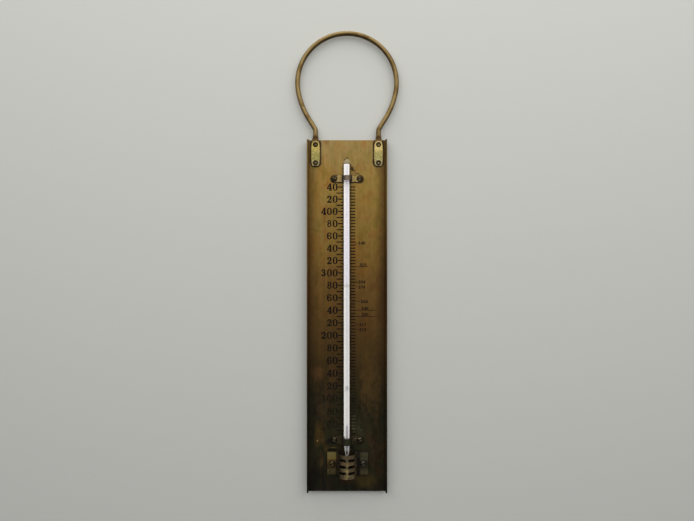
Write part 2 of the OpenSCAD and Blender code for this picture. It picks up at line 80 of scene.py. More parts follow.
def tone(*levels: int) -> Colour:
    """Turns red, green and blue as a screen shows them, 0 to 255, into linear light."""
    shares = [level / 255 for level in levels]
    return tuple(s / 12.92 if s <= 0.04045 else ((s + 0.055) / 1.055) ** 2.4 for s in shares)


def toned(*rows: tuple[float, ...]) -> Stops:
    """Returns a ramp's stops, from a place and the three levels of a colour in each row."""
    return tuple((place, tone(*levels)) for place, *levels in rows)


@dataclass(frozen=True)
class Datum:
    """Where the plate's face and lower edge lie in the frame, in metres."""

    face_y: float
    foot_z: float

    def at(self, across: float, up: float, out: float = 0.0) -> Vector:
        """Turns a place on the plate into the frame.

        Args:
            across: Millimetres right of the centre line.
            up: Millimetres above the plate's lower edge.
            out: Millimetres in front of the plate's face.

        Returns:
            The place in the frame, in metres.
        """
        return Vector((across * MM, self.face_y - out * MM, self.foot_z + up * MM))


# Node trees written as expressions


@dataclass(frozen=True)
class Term:
    """A number, vector or colour in a node tree that can be used in an expression."""

    desk: Desk
    socket: bpy.types.NodeSocket

    def __add__(self, other: Value) -> Term:
        """Returns the sum."""
        return self.desk.maths("ADD", self, other)

    def __radd__(self, other: Value) -> Term:
        """Returns the sum."""
        return self.desk.maths("ADD", other, self)

    def __sub__(self, other: Value) -> Term:
        """Returns the difference."""
        return self.desk.maths("SUBTRACT", self, other)

    def __rsub__(self, other: Value) -> Term:
        """Returns the difference, turned round."""
        return self.desk.maths("SUBTRACT", other, self)

    def __mul__(self, other: Value) -> Term:
        """Returns the product."""
        return self.desk.maths("MULTIPLY", self, other)

    def __rmul__(self, other: Value) -> Term:
        """Returns the product."""
        return self.desk.maths("MULTIPLY", other, self)

    def __truediv__(self, other: Value) -> Term:
        """Returns the quotient."""
        return self.desk.maths("DIVIDE", self, other)

    def __pow__(self, other: Value) -> Term:
        """Returns the power."""
        return self.desk.maths("POWER", self, other)

    def __mod__(self, other: Value) -> Term:
        """Returns the remainder."""
        return self.desk.maths("MODULO", self, other)

    def __abs__(self) -> Term:
        """Returns the size without its sign."""
        return self.desk.maths("ABSOLUTE", self)

    def sign(self) -> Term:
        """Returns -1, 0 or 1."""
        return self.desk.maths("SIGN", self)

    def clamped(self) -> Term:
        """Returns the number held between 0 and 1."""
        return self.desk.node("ShaderNodeClamp", {"Value": self})


class Desk:
    """Lays out the nodes of one tree."""

    def __init__(self, tree: bpy.types.NodeTree) -> None:
        """Starts on a tree."""
        self.tree = tree

    def node(
        self,
        kind: str,
        sockets: dict[str | int, Value] | None = None,
        output: str | int = 0,
        **settings: Value,
    ) -> Term | None:
        """Adds a node.

        Args:
            kind: Type of the node.
            sockets: Values or links of its sockets, by name or number.
            output: Which output to return.
            **settings: Its settings, set before its sockets; stops are a ramp's places and colours.

        Returns:
            The output, or nothing for a node that ends a tree.
        """
        node = self.tree.nodes.new(kind)
        for name, setting in settings.items():
            if name == "stops":
                self._set_stops(node.color_ramp, setting)
            else:
                setattr(node, name, setting)
        for key, value in (sockets or {}).items():
            if isinstance(value, Term):
                self.tree.links.new(value.socket, node.inputs[key])
            else:
                node.inputs[key].default_value = value
        return Term(self, node.outputs[output]) if node.outputs else None

    @staticmethod
    def _set_stops(ramp: bpy.types.ColorRamp, stops: Stops) -> None:
        """Sets a ramp's stops.

        Args:
            ramp: The ramp.
            stops: Places from 0 to 1, each with its colour.
        """
        while len(ramp.elements) < len(stops):
            ramp.elements.new(1.0)
        for element, (place, colour) in zip(ramp.elements, stops):
            element.position = place
            element.color = (*colour, 1.0)

    def maths(self, operation: str, *values: Value) -> Term:
        """Returns what an operation makes of numbers."""
        return self.node("ShaderNodeMath", dict(enumerate(values)), operation=operation)

    def vector_maths(self, operation: str, *values: Value) -> Term:
        """Returns what an operation makes of vectors; a length is a number."""
        output = "Value" if operation == "LENGTH" else "Vector"
        return self.node("ShaderNodeVectorMath", dict(enumerate(values)), output, operation=operation)

    def split(self, vector: Term) -> tuple[Term, ...]:
        """Returns a vector's three parts."""
        x = self.node("ShaderNodeSeparateXYZ", {0: vector})
        return tuple(Term(self, part) for part in x.socket.node.outputs)

    def joined(self, x: Value, y: Value, z: Value) -> Term:
        """Returns a vector made of three numbers."""
        return self.node("ShaderNodeCombineXYZ", {0: x, 1: y, 2: z})

    def reach(self, across: Value, up: Value) -> Term:
        """Returns the distance that two distances at right angles make."""
        return self.vector_maths("LENGTH", self.joined(across, 0.0, up))


class Pattern(Desk):
    """A Geometry Nodes tree with named inputs for its sizes."""

    KINDS = {
        float: "NodeSocketFloat",
        int: "NodeSocketInt",
        Piece: "NodeSocketObject",
        Material: "NodeSocketMaterial",
    }

    def __init__(self, name: str, sizes: dict[str, Value]) -> None:
        """Makes the tree and its inputs.

        Args:
            name: The tree's name.
            sizes: Each input's name with its value.
        """
        super().__init__(bpy.data.node_groups.new(name, "GeometryNodeTree"))
        face = self.tree.interface
        for side in ("OUTPUT", "INPUT"):
            face.new_socket("Geometry", in_out=side, socket_type="NodeSocketGeometry")
        self.values: dict[str, Value] = {}
        for key, value in sizes.items():
            socket = face.new_socket(key, in_out="INPUT", socket_type=self.KINDS[type(value)])
            self.values[socket.identifier] = value
        self.inlet = self.tree.nodes.new("NodeGroupInput")

    def size(self, name: str) -> Term:
        """Returns an input of the tree by its name."""
        return Term(self, self.inlet.outputs[name])

    def attribute(self, name: str, kind: str = "FLOAT") -> Term:
        """Returns a named attribute of the points at hand."""
        return self.node("GeometryNodeInputNamedAttribute", {"Name": name}, data_type=kind)

    def geometry_of(self, name: str) -> Term:
        """Returns the geometry of the object that an input names."""
        return self.node("GeometryNodeObjectInfo", {"Object": self.size(name)}, "Geometry")

    def cut(self, geometry: Term, cutters: str) -> Term:
        """Returns geometry with the object that an input names cut out of it."""
        meshes = {"Mesh 1": geometry, "Mesh 2": self.geometry_of(cutters)}
        return self.node("GeometryNodeMeshBoolean", meshes, operation="DIFFERENCE", solver="EXACT")

    def applied(self, piece: Piece, result: Term) -> Piece:
        """Ends the tree, runs it on a piece and leaves the piece a plain mesh.

        Args:
            piece: The piece that the tree starts from.
            result: The geometry that the tree ends with.

        Returns:
            The piece with its new mesh.
        """
        real = self.node("GeometryNodeRealizeInstances", {"Geometry": result})
        coated = {"Geometry": real, "Material": self.size("Finish")}
        self.node("NodeGroupOutput", {0: self.node("GeometryNodeSetMaterial", coated)})
        modifier = piece.modifiers.new(self.tree.name, "NODES")
        modifier.node_group = self.tree
        for identifier, value in self.values.items():
            modifier[identifier] = value
        return flattened(piece)


class Paint(Desk):
    """The node tree of one material, in which colours are laid one over another."""

    def __init__(self, name: str, datum: Datum | None = None) -> None:
        """Makes an empty material.

        Args:
            name: The material's name.
            datum: The plate's place, for a finish that goes by places on the plate.
        """
        self.material = bpy.data.materials.new(name)
        self.material.use_nodes = True
        super().__init__(self.material.node_tree)
        self.tree.nodes.clear()
        self.datum = datum
        self.place = self.node("ShaderNodeTexCoord", output="Object")
        self.colour: Value = None

    @cached_property
    def spot(self) -> tuple[Term, Term]:
        """Returns the place on the plate, across and up, in millimetres."""
        x, _, z = self.split(self.place)
        return x / MM, (z - self.datum.foot_z) / MM

    @cached_property
    def wander(self) -> Term:
        """Returns the unevenness of all outlines drawn by patch, about 0."""
        return self.noise(260, 4.0) - 0.5

    def noise(
        self,
        scale: float,
        detail: float,
        upright: float = 1.0,
        roughness: float = 0.55,
        start: tuple[float, float, float] = (0.0, 0.0, 0.0),
    ) -> Term:
        """Adds soft noise, from 0 to 1 and mostly near the middle.

        Args:
            scale: Spots to the metre.
            detail: How many finer layers are added.
            upright: How much closer the spots lie up the plate; a small share draws streaks.
            roughness: How strong the finer layers are.
            start: Where in the noise the pattern starts.

        Returns:
            The noise.
        """
        mapping = {"Vector": self.place, "Location": start, "Scale": (1.0, 1.0, upright)}
        mapped = self.node("ShaderNodeMapping", mapping)
        sockets = {"Vector": mapped, "Scale": scale, "Detail": detail, "Roughness": roughness}
        return self.node("ShaderNodeTexNoise", sockets, "Fac")

    def slope(self, value: Value, start: float, end: float) -> Term:
        """Returns 0 before start, 1 past end and a smooth rise between them.

        Args:
            value: The number that rises or falls.
            start: Where the result leaves 0.
            end: Where the result reaches 1.

        Returns:
            The share.
        """
        low, high = sorted((start, end))
        sockets = {0: value, 1: low, 2: high}
        rise = self.node("ShaderNodeMapRange", sockets, interpolation_type="SMOOTHSTEP", clamp=True)
        return 1 - rise if end < start else rise

    def mix(self, share: Value, under: Value, over: Value, how: str = "MIX") -> Term:
        """Mixes two colours.

        Args:
            share: How much of the second colour shows.
            under: The first colour.
            over: The second colour.
            how: The blend mode.

        Returns:
            The mixed colour.
        """
        under, over = ((*c, 1.0) if isinstance(c, tuple) else c for c in (under, over))
        sockets = {0: share, 6: under, 7: over}
        return self.node("ShaderNodeMix", sockets, 2, data_type="RGBA", blend_type=how, clamp_factor=True)

    def lay(self, share: Value, colour: Value, how: str = "MIX") -> None:
        """Lays a colour over those laid so far."""
        self.colour = self.mix(share, self.colour, colour, how)

    def ramp(self, share: Term, stops: Stops) -> Term:
        """Returns the colour of a ramp at a place from 0 to 1."""
        return self.node("ShaderNodeValToRGB", {0: share}, stops=stops)

    def patch(
        self,
        middle: tuple[float, float],
        reach: tuple[float, float],
        tilt: float,
        edge: float,
        ragged: float,
    ) -> Term:
        """Returns a soft oval on the plate, 1 at its middle and 0 past its reach.

        Args:
            middle: Its place across and up, in millimetres.
            reach: How far it reaches across and up, in millimetres.
            tilt: How far it is turned, in degrees against the clock.
            edge: The share of its reach where it starts to fade.
            ragged: How uneven its outline is.

        Returns:
            The oval.
        """
        right, rise = self.spot[0] - middle[0], self.spot[1] - middle[1]
        turn, lean = math.cos(math.radians(tilt)), math.sin(math.radians(tilt))
        across = (right * turn + rise * lean) / reach[0]
        up = (rise * turn - right * lean) / reach[1]
        return self.slope(self.reach(across, up) + self.wander * ragged, 1.0, edge)

    def stain(self, stain: Stain) -> None:
        """Lays a stain."""
        oval = self.patch(
            (stain.across, stain.up), (stain.wide, stain.high), stain.tilt, stain.edge, stain.ragged
        )
        self.lay(oval * stain.share, stain.colour)

    def rim(self, rim: Rim) -> Term:
        """Returns the dirt and painted shade round a fitting.

        Args:
            rim: The box that it lies round.

        Returns:
            The rim's share inside and at its outline, and 0 a little way off.
        """
        across, up = self.spot
        across = abs(across) if rim.both_sides else across
        past_x = self.maths("MAXIMUM", abs(across - rim.across) - (rim.half_wide - rim.corner), 0.0)
        past_z = self.maths("MAXIMUM", abs(up - rim.up) - (rim.half_high - rim.corner), 0.0)
        uneven = self.reach(past_x, past_z) - rim.corner + (self.noise(700, 4.0) - 0.5) * rim.wide
        return self.slope(uneven, rim.wide, 0.2 * rim.wide) * rim.share

    def facing(self) -> tuple[Term, ...]:
        """Returns the three parts of the direction that a face looks in."""
        return self.split(self.node("ShaderNodeNewGeometry", output="Normal"))

    def bump(self, height: Term, strength: float, depth: float) -> Term:
        """Returns a normal tipped by a height from 0 to 1; depth is the millimetres that 1 stands for."""
        sockets = {"Height": height, "Strength": strength, "Distance": depth * MM}
        return self.node("ShaderNodeBump", sockets)

    def shaders(self, share: Value, first: Term, second: Term) -> Term:
        """Returns two shaders mixed by a share of the second."""
        return self.node("ShaderNodeMixShader", {0: share, 1: first, 2: second})

    def matt(self, colour: Colour) -> Term:
        """Returns a shader without shine."""
        return self.node("ShaderNodeBsdfDiffuse", {"Color": (*colour, 1.0)})

    def surface(self, **sockets: Value) -> Material:
        """Ends the material in one Principled shader that has the colour laid so far.

        Args:
            **sockets: The shader's other sockets, with _ for a space in their names.

        Returns:
            The material.
        """
        named = {key.replace("_", " "): value for key, value in sockets.items()}
        return self.ended(self.node("ShaderNodeBsdfPrincipled", {"Base Color": self.colour, **named}))

    def ended(self, shader: Term) -> Material:
        """Links a shader to the material's output and returns the material."""
        self.node("ShaderNodeOutputMaterial", {"Surface": shader})
        return self.material


# Finishes


@dataclass(frozen=True)
class Stain:
    """A soft oval of another colour, at its place on the plate."""

    across: float
    up: float
    wide: float
    high: float
    colour: Colour
    share: float
    tilt: float = 0.0
    edge: float = 0.2
    ragged: float = 1.1


@dataclass(frozen=True)
class Rim:
    """A rounded box on the plate that dirt and painted shade lie round."""

    across: float
    up: float
    half_wide: float
    half_high: float
    corner: float
    wide: float
    share: float = 1.0
    both_sides: bool = False


@dataclass(frozen=True)
class PlateFinish:
    """Brushed brass sheet that heat and syrup have browned from its foot upwards, with painted shade towards
    its folded sides and beside the tube's top, and dirt and painted shade round its fittings.
    """

    datum: Datum
    length: float
    half_width: float
    # The painted shade by each folded side starts shaded millimetres in from the edge and is full at fold
    # millimetres in
    fold: float = 1.2
    shaded: float = 9.0

    NEAR_BLACK, OLIVE = tone(20, 17, 10), tone(70, 68, 44)
    BROWNING = toned(
        (0.0, 33, 30, 19), (0.12, 46, 43, 23), (0.26, 47, 40, 17), (0.36, 64, 47, 16), (0.46, 89, 65, 26),
        (0.6, 109, 80, 33), (0.74, 132, 104, 46), (0.88, 144, 117, 56), (1.0, 150, 126, 75),
    )
    BRUSHING = ((0.3, (0.66, 0.63, 0.58)), (0.7, (1.0, 1.0, 1.0)))
    STAINS = (
        Stain(-18.5, 38.0, 4.5, 11.0, tone(92, 70, 32), 0.75),
        Stain(-14.5, 30.0, 3.0, 9.0, tone(84, 62, 34), 0.6, 12.0),
        Stain(4.6, 44.5, 1.9, 8.0, tone(92, 92, 66), 0.8, 0.0, 0.6, 0.6),
        Stain(7.6, 44.0, 2.4, 9.0, tone(70, 70, 46), 0.7),
        Stain(-6.2, 41.0, 3.4, 5.0, tone(40, 46, 32), 0.6),
        Stain(-20.0, 78.0, 6.0, 7.0, tone(96, 66, 34), 0.6),
        Stain(-9.5, 78.0, 5.0, 12.0, tone(92, 64, 30), 0.5),
        Stain(13.5, 75.0, 7.0, 30.0, tone(98, 72, 32), 0.55),
        Stain(20.0, 66.0, 4.0, 30.0, tone(92, 68, 34), 0.4),
        Stain(9.0, 38.5, 3.2, 4.5, OLIVE, 0.7),
        Stain(17.5, 30.0, 3.0, 9.0, tone(62, 44, 26), 0.6, -20.0),
        Stain(12.0, 7.0, 12.0, 7.0, tone(74, 60, 26), 0.75),
        Stain(0.0, 6.5, 8.0, 3.0, tone(66, 44, 22), 0.6),
        Stain(-17.0, 20.0, 2.6, 7.0, tone(84, 66, 34), 0.6),
        Stain(-24.5, 52.0, 6.0, 26.0, tone(38, 36, 19), 0.7),
        Stain(-15.5, 54.0, 3.0, 7.0, tone(66, 58, 36), 0.5),
        Stain(22.5, 42.0, 5.0, 18.0, tone(38, 38, 21), 0.6),
        Stain(-21.0, 8.0, 10.0, 10.0, tone(27, 24, 15), 0.7),
        Stain(5.0, 52.0, 5.5, 16.0, tone(40, 36, 18), 0.5),
        Stain(-11.0, 33.0, 5.0, 3.2, NEAR_BLACK, 0.8, 20.0),
        # Painted shadow to the right of the tube's top:
        Stain(3.5, 212.4, 1.2, 2.6, NEAR_BLACK, 0.9, 20.0),
        Stain(4.6, 211.6, 2.2, 0.5, NEAR_BLACK, 0.7, -12.0, 0.4, 0.4),
        Stain(6.6, 209.6, 3.2, 0.45, NEAR_BLACK, 0.8, -14.0, 0.4, 0.4),
        Stain(-1.6, 218.4, 0.9, 2.0, tone(70, 48, 22), 0.6, -10.0),
        Stain(-9.7, 27.3, 3.4, 1.0, NEAR_BLACK, 0.85, 0.0, 0.6, 0.4),
        Stain(-9.8, 28.6, 3.2, 0.3, tone(120, 106, 44), 0.55, 2.0, 0.6, 0.8),
        Stain(-19.6, 33.1, 0.35, 0.9, tone(220, 180, 100), 0.7, -14.0, 0.5, 0.5),
    )
    PADS = Rim(20.65, 222.9, 3.15, 8.7, 2.4, 0.9, both_sides=True)
    CLIPS_AND_EARS = (
        Rim(0.0, 205.8, 10.7, 2.3, 2.2, 0.8),
        Rim(0.0, 33.6, 10.7, 2.3, 2.2, 0.8),
        Rim(0.5, 18.4, 13.6, 7.8, 0.6, 0.9, 0.8),
    )

    def made(self) -> Material:
        """Paints the material.

        Returns:
            The material.
        """
        paint = Paint("plate_brass", self.datum)
        slope = paint.slope
        across, up = paint.spot
        height = up / self.length
        above, below = slope(height, 0.3, 0.55), slope(height, 0.42, 0.22)
        drift = paint.noise(26, 4.0, 0.5) - 0.5
        paint.colour = paint.ramp((height + drift * 0.1).clamped(), self.BROWNING)
        hue = paint.noise(60, 5.0, 0.45, start=(0.2, 0.4, 0.1))
        paint.lay(slope(hue, 0.5, 0.68) * above * 0.4, tone(196, 152, 60), "SOFT_LIGHT")
        paint.lay(slope(hue, 0.46, 0.34) * above * 0.35, tone(206, 178, 150), "MULTIPLY")
        cloud = paint.noise(95, 6.0, 0.6, 0.65, (0.5, 0.1, 0.3))
        paint.lay(slope(cloud, 0.5, 0.64) * below * 0.42, tone(72, 46, 25))
        paint.lay(slope(cloud, 0.48, 0.36) * below * 0.55, tone(38, 44, 24))
        for stain in self.STAINS:
            paint.stain(stain)
        streaks, grain = paint.noise(520, 3.0, 0.03), paint.noise(2200, 2.0, 0.02)
        paint.lay(0.55, paint.ramp(streaks, self.BRUSHING), "MULTIPLY")
        paint.lay(0.35, paint.ramp(grain, self.BRUSHING), "MULTIPLY")
        mottle = slope(paint.noise(210, 6.0, 0.6, 0.75), 0.46, 0.62)
        paint.lay(mottle * (0.16 + below * 0.4), tone(140, 136, 96), "MULTIPLY")
        fine = paint.noise(170, 4.0, 0.7, 0.6, (0.7, 0.3, 0.9))
        paint.lay(slope(fine, 0.5, 0.64) * above * 0.45, tone(206, 218, 148), "MULTIPLY")
        paint.lay(slope(fine, 0.48, 0.36) * above * 0.4, tone(236, 196, 154), "MULTIPLY")
        # Painted shade darkening the sheet towards both folded sides, the flanges' inner faces included
        start, end = self.half_width - self.shaded, self.half_width - self.fold
        paint.lay(slope(across, -start, -end) * (0.4 + above * 0.35), tone(168, 158, 130), "MULTIPLY")
        paint.lay(slope(across, start, end) * (0.25 + above * 0.55), tone(156, 142, 106), "MULTIPLY")
        # Dirt and painted shade round the pads, straps and guard ears, on front faces only and set a little
        # low under the straps
        dirt_and_shade = paint.rim(self.PADS)
        for rim in self.CLIPS_AND_EARS:
            dirt_and_shade = paint.maths("MAXIMUM", dirt_and_shade, paint.rim(rim))
        paint.lay(dirt_and_shade * slope(paint.facing()[1], 0.5, 0.1) * 0.92, tone(26, 16, 7))
        return paint.surface(
            Metallic=0.45,
            Roughness=0.5 + (streaks - 0.5) * 0.25,
            Specular_IOR_Level=0.2,
            Normal=paint.bump(grain * 0.6 + streaks * 0.4, 0.4, 0.05),
        )


@dataclass(frozen=True)
class LoopFinish:
    """Drawn brass rod with bright worn pads; painted shade lies above each pad, in the rivets' sinks and on
    its downward faces, and a painted highlight on its upward faces.
    """

    datum: Datum
    leg: float
    pad_top: float
    rivets: tuple[float, float]

    def _pad(self, paint: Paint, off: Term, specks: Term) -> Term:
        """Returns the colour of the worn pads.

        Args:
            paint: The material's tree.
            off: Distance from the leg's middle line, in millimetres.
            specks: Noise that the wear follows.

        Returns:
            The colour.
        """
        across, up = paint.spot
        slope, top = paint.slope, self.pad_top
        paint.colour = paint.mix(slope(across, -1.0, 1.0), tone(164, 146, 78), tone(184, 164, 104))
        paint.lay(slope(up, top - 5, top - 10) * 0.7, tone(116, 114, 66))
        paint.lay(slope(up, top - 12.5, top - 15) * 0.7, tone(144, 132, 100))
        paint.lay(slope(specks, 0.56, 0.64) * 0.6, tone(104, 80, 34))
        paint.lay(slope(specks, 0.42, 0.34) * 0.6, tone(206, 194, 142))
        paint.lay(slope(abs(off), 2.1, 3.0) * 0.75, tone(120, 92, 44))
        # Painted shade darkens the sink round each rivet
        for rivet in self.rivets:
            paint.lay(slope(paint.reach(off, up - rivet), 2.0, 1.5), tone(34, 24, 12))
        return paint.colour

    def made(self) -> Material:
        """Paints the material.

        Returns:
            The material.
        """
        paint = Paint("loop_brass", self.datum)
        slope = paint.slope
        across, up = paint.spot
        off = abs(across) - self.leg
        specks = paint.noise(1100, 3.0, roughness=0.6)
        pad = self._pad(paint, off, specks)
        blotches = paint.noise(120, 5.0, roughness=0.65)
        paint.colour = paint.mix(slope(blotches, 0.46, 0.64) * 0.8, tone(134, 113, 72), tone(98, 76, 38))
        # Painted shade on the downward slope where the rod flattens into each pad
        paint.lay(slope(abs(up - self.pad_top - 0.6), 2.4, 0.9) * 0.7, tone(72, 44, 20))
        # Painted shade on the rod's downward faces, reaching further round near its crown, and a painted
        # highlight on its upward faces
        rise, crown = paint.facing()[2], slope(up, 268, 292)
        paint.lay(slope(rise - crown * 0.25, -0.1, -0.7) * 0.75, tone(50, 36, 16))
        paint.lay(slope(rise, 0.3, 0.8) * 0.6, tone(190, 172, 132))
        shoulder = up + off * off * 0.3
        paint.lay(slope(shoulder, self.pad_top - 0.7, self.pad_top - 1.4), pad)
        return paint.surface(
            Metallic=0.75,
            Roughness=0.42 + blotches * 0.16,
            Specular_IOR_Level=0.25,
            Normal=paint.bump(specks, 0.4, 0.06),
        )


@dataclass(frozen=True)
class SmallBrass:
    """Tarnished brass of a small fitting, with rubbed patches, stains and soot towards the plate's foot,
    painted shade on its sides, dirt and painted shade low on its head and, on some, painted glints.
    """

    name: str
    base: Colour
    rubbed: Colour
    stain: Colour
    blackening: float
    sides: float
    dirt_and_shade_out: float
    glinted: bool
    datum: Datum

    # Each painted glint streak's place across and up the plate, and its turn
    GLINT_STREAKS = (
        (-8.6, 35.6, -18.0),
        (-8.0, 33.2, -10.0),
        (8.2, 35.4, 24.0),
        (9.2, 33.4, 28.0),
        (6.0, 34.8, 10.0),
    )

    def made(self) -> Material:
        """Paints the material.

        Returns:
            The material.
        """
        paint = Paint(self.name, self.datum)
        slope = paint.slope
        across, up = paint.spot
        spots = paint.noise(480, 5.0, roughness=0.65)
        paint.colour = paint.mix(slope(spots, 0.54, 0.66), self.base, self.rubbed)
        paint.lay(slope(paint.noise(330, 4.0, start=(0.31, 0.12, 0.07)), 0.52, 0.66) * 0.8, self.stain)
        near_foot = slope(up, 110, 30)
        paint.lay(near_foot * self.blackening, tone(24, 22, 14))
        # Painted highlights: pale glint streaks over the lower strap's ears and screws
        for middle, height, tilt in self.GLINT_STREAKS if self.glinted else ():
            paint.stain(Stain(middle, height, 2.6, 0.45, tone(112, 106, 80), 0.6, tilt, 0.5, 1.0))
        strap = paint.mix(near_foot, tone(104, 92, 84), tone(50, 50, 34))
        paint.lay(slope(abs(across), 3.9, 3.3) * 0.75, strap)
        # Painted shade on side faces, those turned neither out of nor into the plate, weaker near the plate's
        # foot
        side_shade = slope(abs(paint.facing()[1]), 0.86, 0.35)
        paint.lay(side_shade * self.sides * (1 - near_foot * 0.75), tone(26, 18, 10))
        # Dirt in the slot and painted shade round the head's foot: faces nearer the plate than the set depth
        # go almost black
        out = (self.datum.face_y - paint.split(paint.place)[1]) / MM
        paint.lay(slope(out, self.dirt_and_shade_out + 0.08, self.dirt_and_shade_out - 0.08) * 0.9, tone(14, 10, 6))
        return paint.surface(
            Metallic=0.7,
            Roughness=0.44 + (spots - 0.5) * 0.3 + near_foot * 0.12,
            Normal=paint.bump(paint.noise(1500, 4.0), 0.35, 0.04),
        )


class Fitting(Enum):
    """Small brass fittings.

    Each has its clean, rubbed and stained colours, its soot near the plate's foot, how strong the painted
    shade on its sides is, how far out from the plate's face its slot and foot are darkened with dirt and
    painted shade, and whether painted glints streak it.
    """

    RIVET = (tone(84, 70, 42), tone(150, 128, 84), tone(40, 32, 20), 0.9, 0.8, -9.0, False)
    CLIP = (tone(132, 110, 62), tone(158, 138, 84), tone(58, 44, 24), 0.86, 0.8, -9.0, True)
    SCREW = (tone(72, 57, 30), tone(188, 166, 112), tone(32, 24, 13), 0.55, 0.8, 1.1, True)
    LEFT_GUARD_SCREW = (tone(100, 80, 42), tone(140, 116, 66), tone(60, 44, 22), 0.1, 0.3, 1.32, False)
    RIGHT_GUARD_SCREW = (tone(66, 62, 50), tone(128, 122, 106), tone(30, 26, 18), 0.1, 0.6, 1.32, False)
    NUT = (tone(150, 128, 78), tone(184, 160, 104), tone(94, 74, 44), 0.9, 0.8, -9.0, False)

    def finish(self, datum: Datum) -> Material:
        """Returns the fitting's material."""
        return SmallBrass(f"{self.name.lower()}_brass", *self.value, datum).made()


@dataclass(frozen=True)
class GuardFinish:
    """Brass band, golden on its left ear and olive on its right one, with painted shade down the sides of its
    arch and painted glints along its spine.
    """

    datum: Datum
    low: float
    length: float

    BLACK = tone(24, 19, 11)
    LEFT_EAR = toned(
        (0.0, 51, 45, 18), (0.1, 78, 70, 36), (0.22, 98, 86, 54), (0.33, 68, 50, 26), (0.45, 80, 60, 34),
        (0.66, 108, 86, 36), (0.76, 152, 132, 70), (0.96, 160, 144, 86), (1.0, 92, 82, 40),
    )
    RIGHT_EAR = toned(
        (0.0, 60, 52, 26), (0.05, 88, 82, 55), (0.18, 75, 69, 45), (0.33, 47, 43, 23), (0.45, 42, 38, 24),
        (0.6, 56, 52, 34), (0.7, 75, 72, 49), (0.92, 87, 84, 60), (1.0, 62, 58, 42),
    )
    # Each dark slash's place across and up the plate, and its share; the first and the last are painted
    # shadows under the screw heads
    SLASHES = ((-8.9, 16.1, 0.9), (-10.4, 20.6, 0.45), (-10.6, 13.4, 0.35), (10.4, 16.0, 0.7))

    def _ears(self, paint: Paint) -> Term:
        """Colours both ears.

        Args:
            paint: The material's tree.

        Returns:
            The colour.
        """
        across, up = paint.spot
        slope = paint.slope
        ragged = (paint.noise(420, 4.0, start=(0.4, 0.6, 0.2)) - 0.5) * 2.0
        place = ((up - self.low + ragged) / self.length).clamped()
        left, right = paint.ramp(place, self.LEFT_EAR), paint.ramp(place, self.RIGHT_EAR)
        paint.colour = paint.mix(slope(across, -2.0, 2.0), left, right)
        # Painted shadow in the gaps between the arch and each ear
        paint.lay(slope(across, 5.8, 6.4) * slope(across, 9.2, 8.4), self.BLACK)
        paint.lay(slope(across, -7.7, -7.0) * slope(across, -5.8, -6.4) * 0.8, self.BLACK)
        return paint.colour

    def made(self) -> Material:
        """Paints the material.

        Returns:
            The material.
        """
        paint = Paint("guard_brass", self.datum)
        slope = paint.slope
        across, up = paint.spot
        ears = self._ears(paint)
        # Painted shade down both sides of the arch, heavier on the left
        dark = slope(across, -2.2, -5.0) * 0.8 + slope(across, 3.4, 5.8) * 0.55
        paint.colour = paint.mix(dark, tone(122, 104, 74), self.BLACK)
        paint.lay(slope(abs(across), 6.15, 6.5), ears)
        paint.lay(slope(up, 21.6, 22.6) * 0.35, tone(58, 52, 38))
        spots = paint.noise(520, 5.0, roughness=0.65)
        # Painted glints speckling the spine of the arch
        spine = slope(abs(across + 0.2), 2.2, 0.3) * slope(up, 21.6, 20.2)
        paint.lay(spine * slope(spots, 0.42, 0.58) * 0.8, tone(176, 158, 104))
        paint.lay(slope(spots, 0.58, 0.68) * 0.5, tone(112, 60, 38))
        paint.lay(slope(paint.noise(300, 4.0, start=(0.2, 0.0, 0.4)), 0.5, 0.64) * 0.45, tone(40, 36, 20))
        for middle, height, share in self.SLASHES:
            paint.stain(Stain(middle, height, 2.6, 0.55, self.BLACK, share, 30.0, 0.4, 0.9))
        return paint.surface(
            Metallic=0.7,
            Roughness=0.42 + (spots - 0.5) * 0.3,
            Normal=paint.bump(paint.noise(1300, 4.0), 0.4, 0.06),
        )


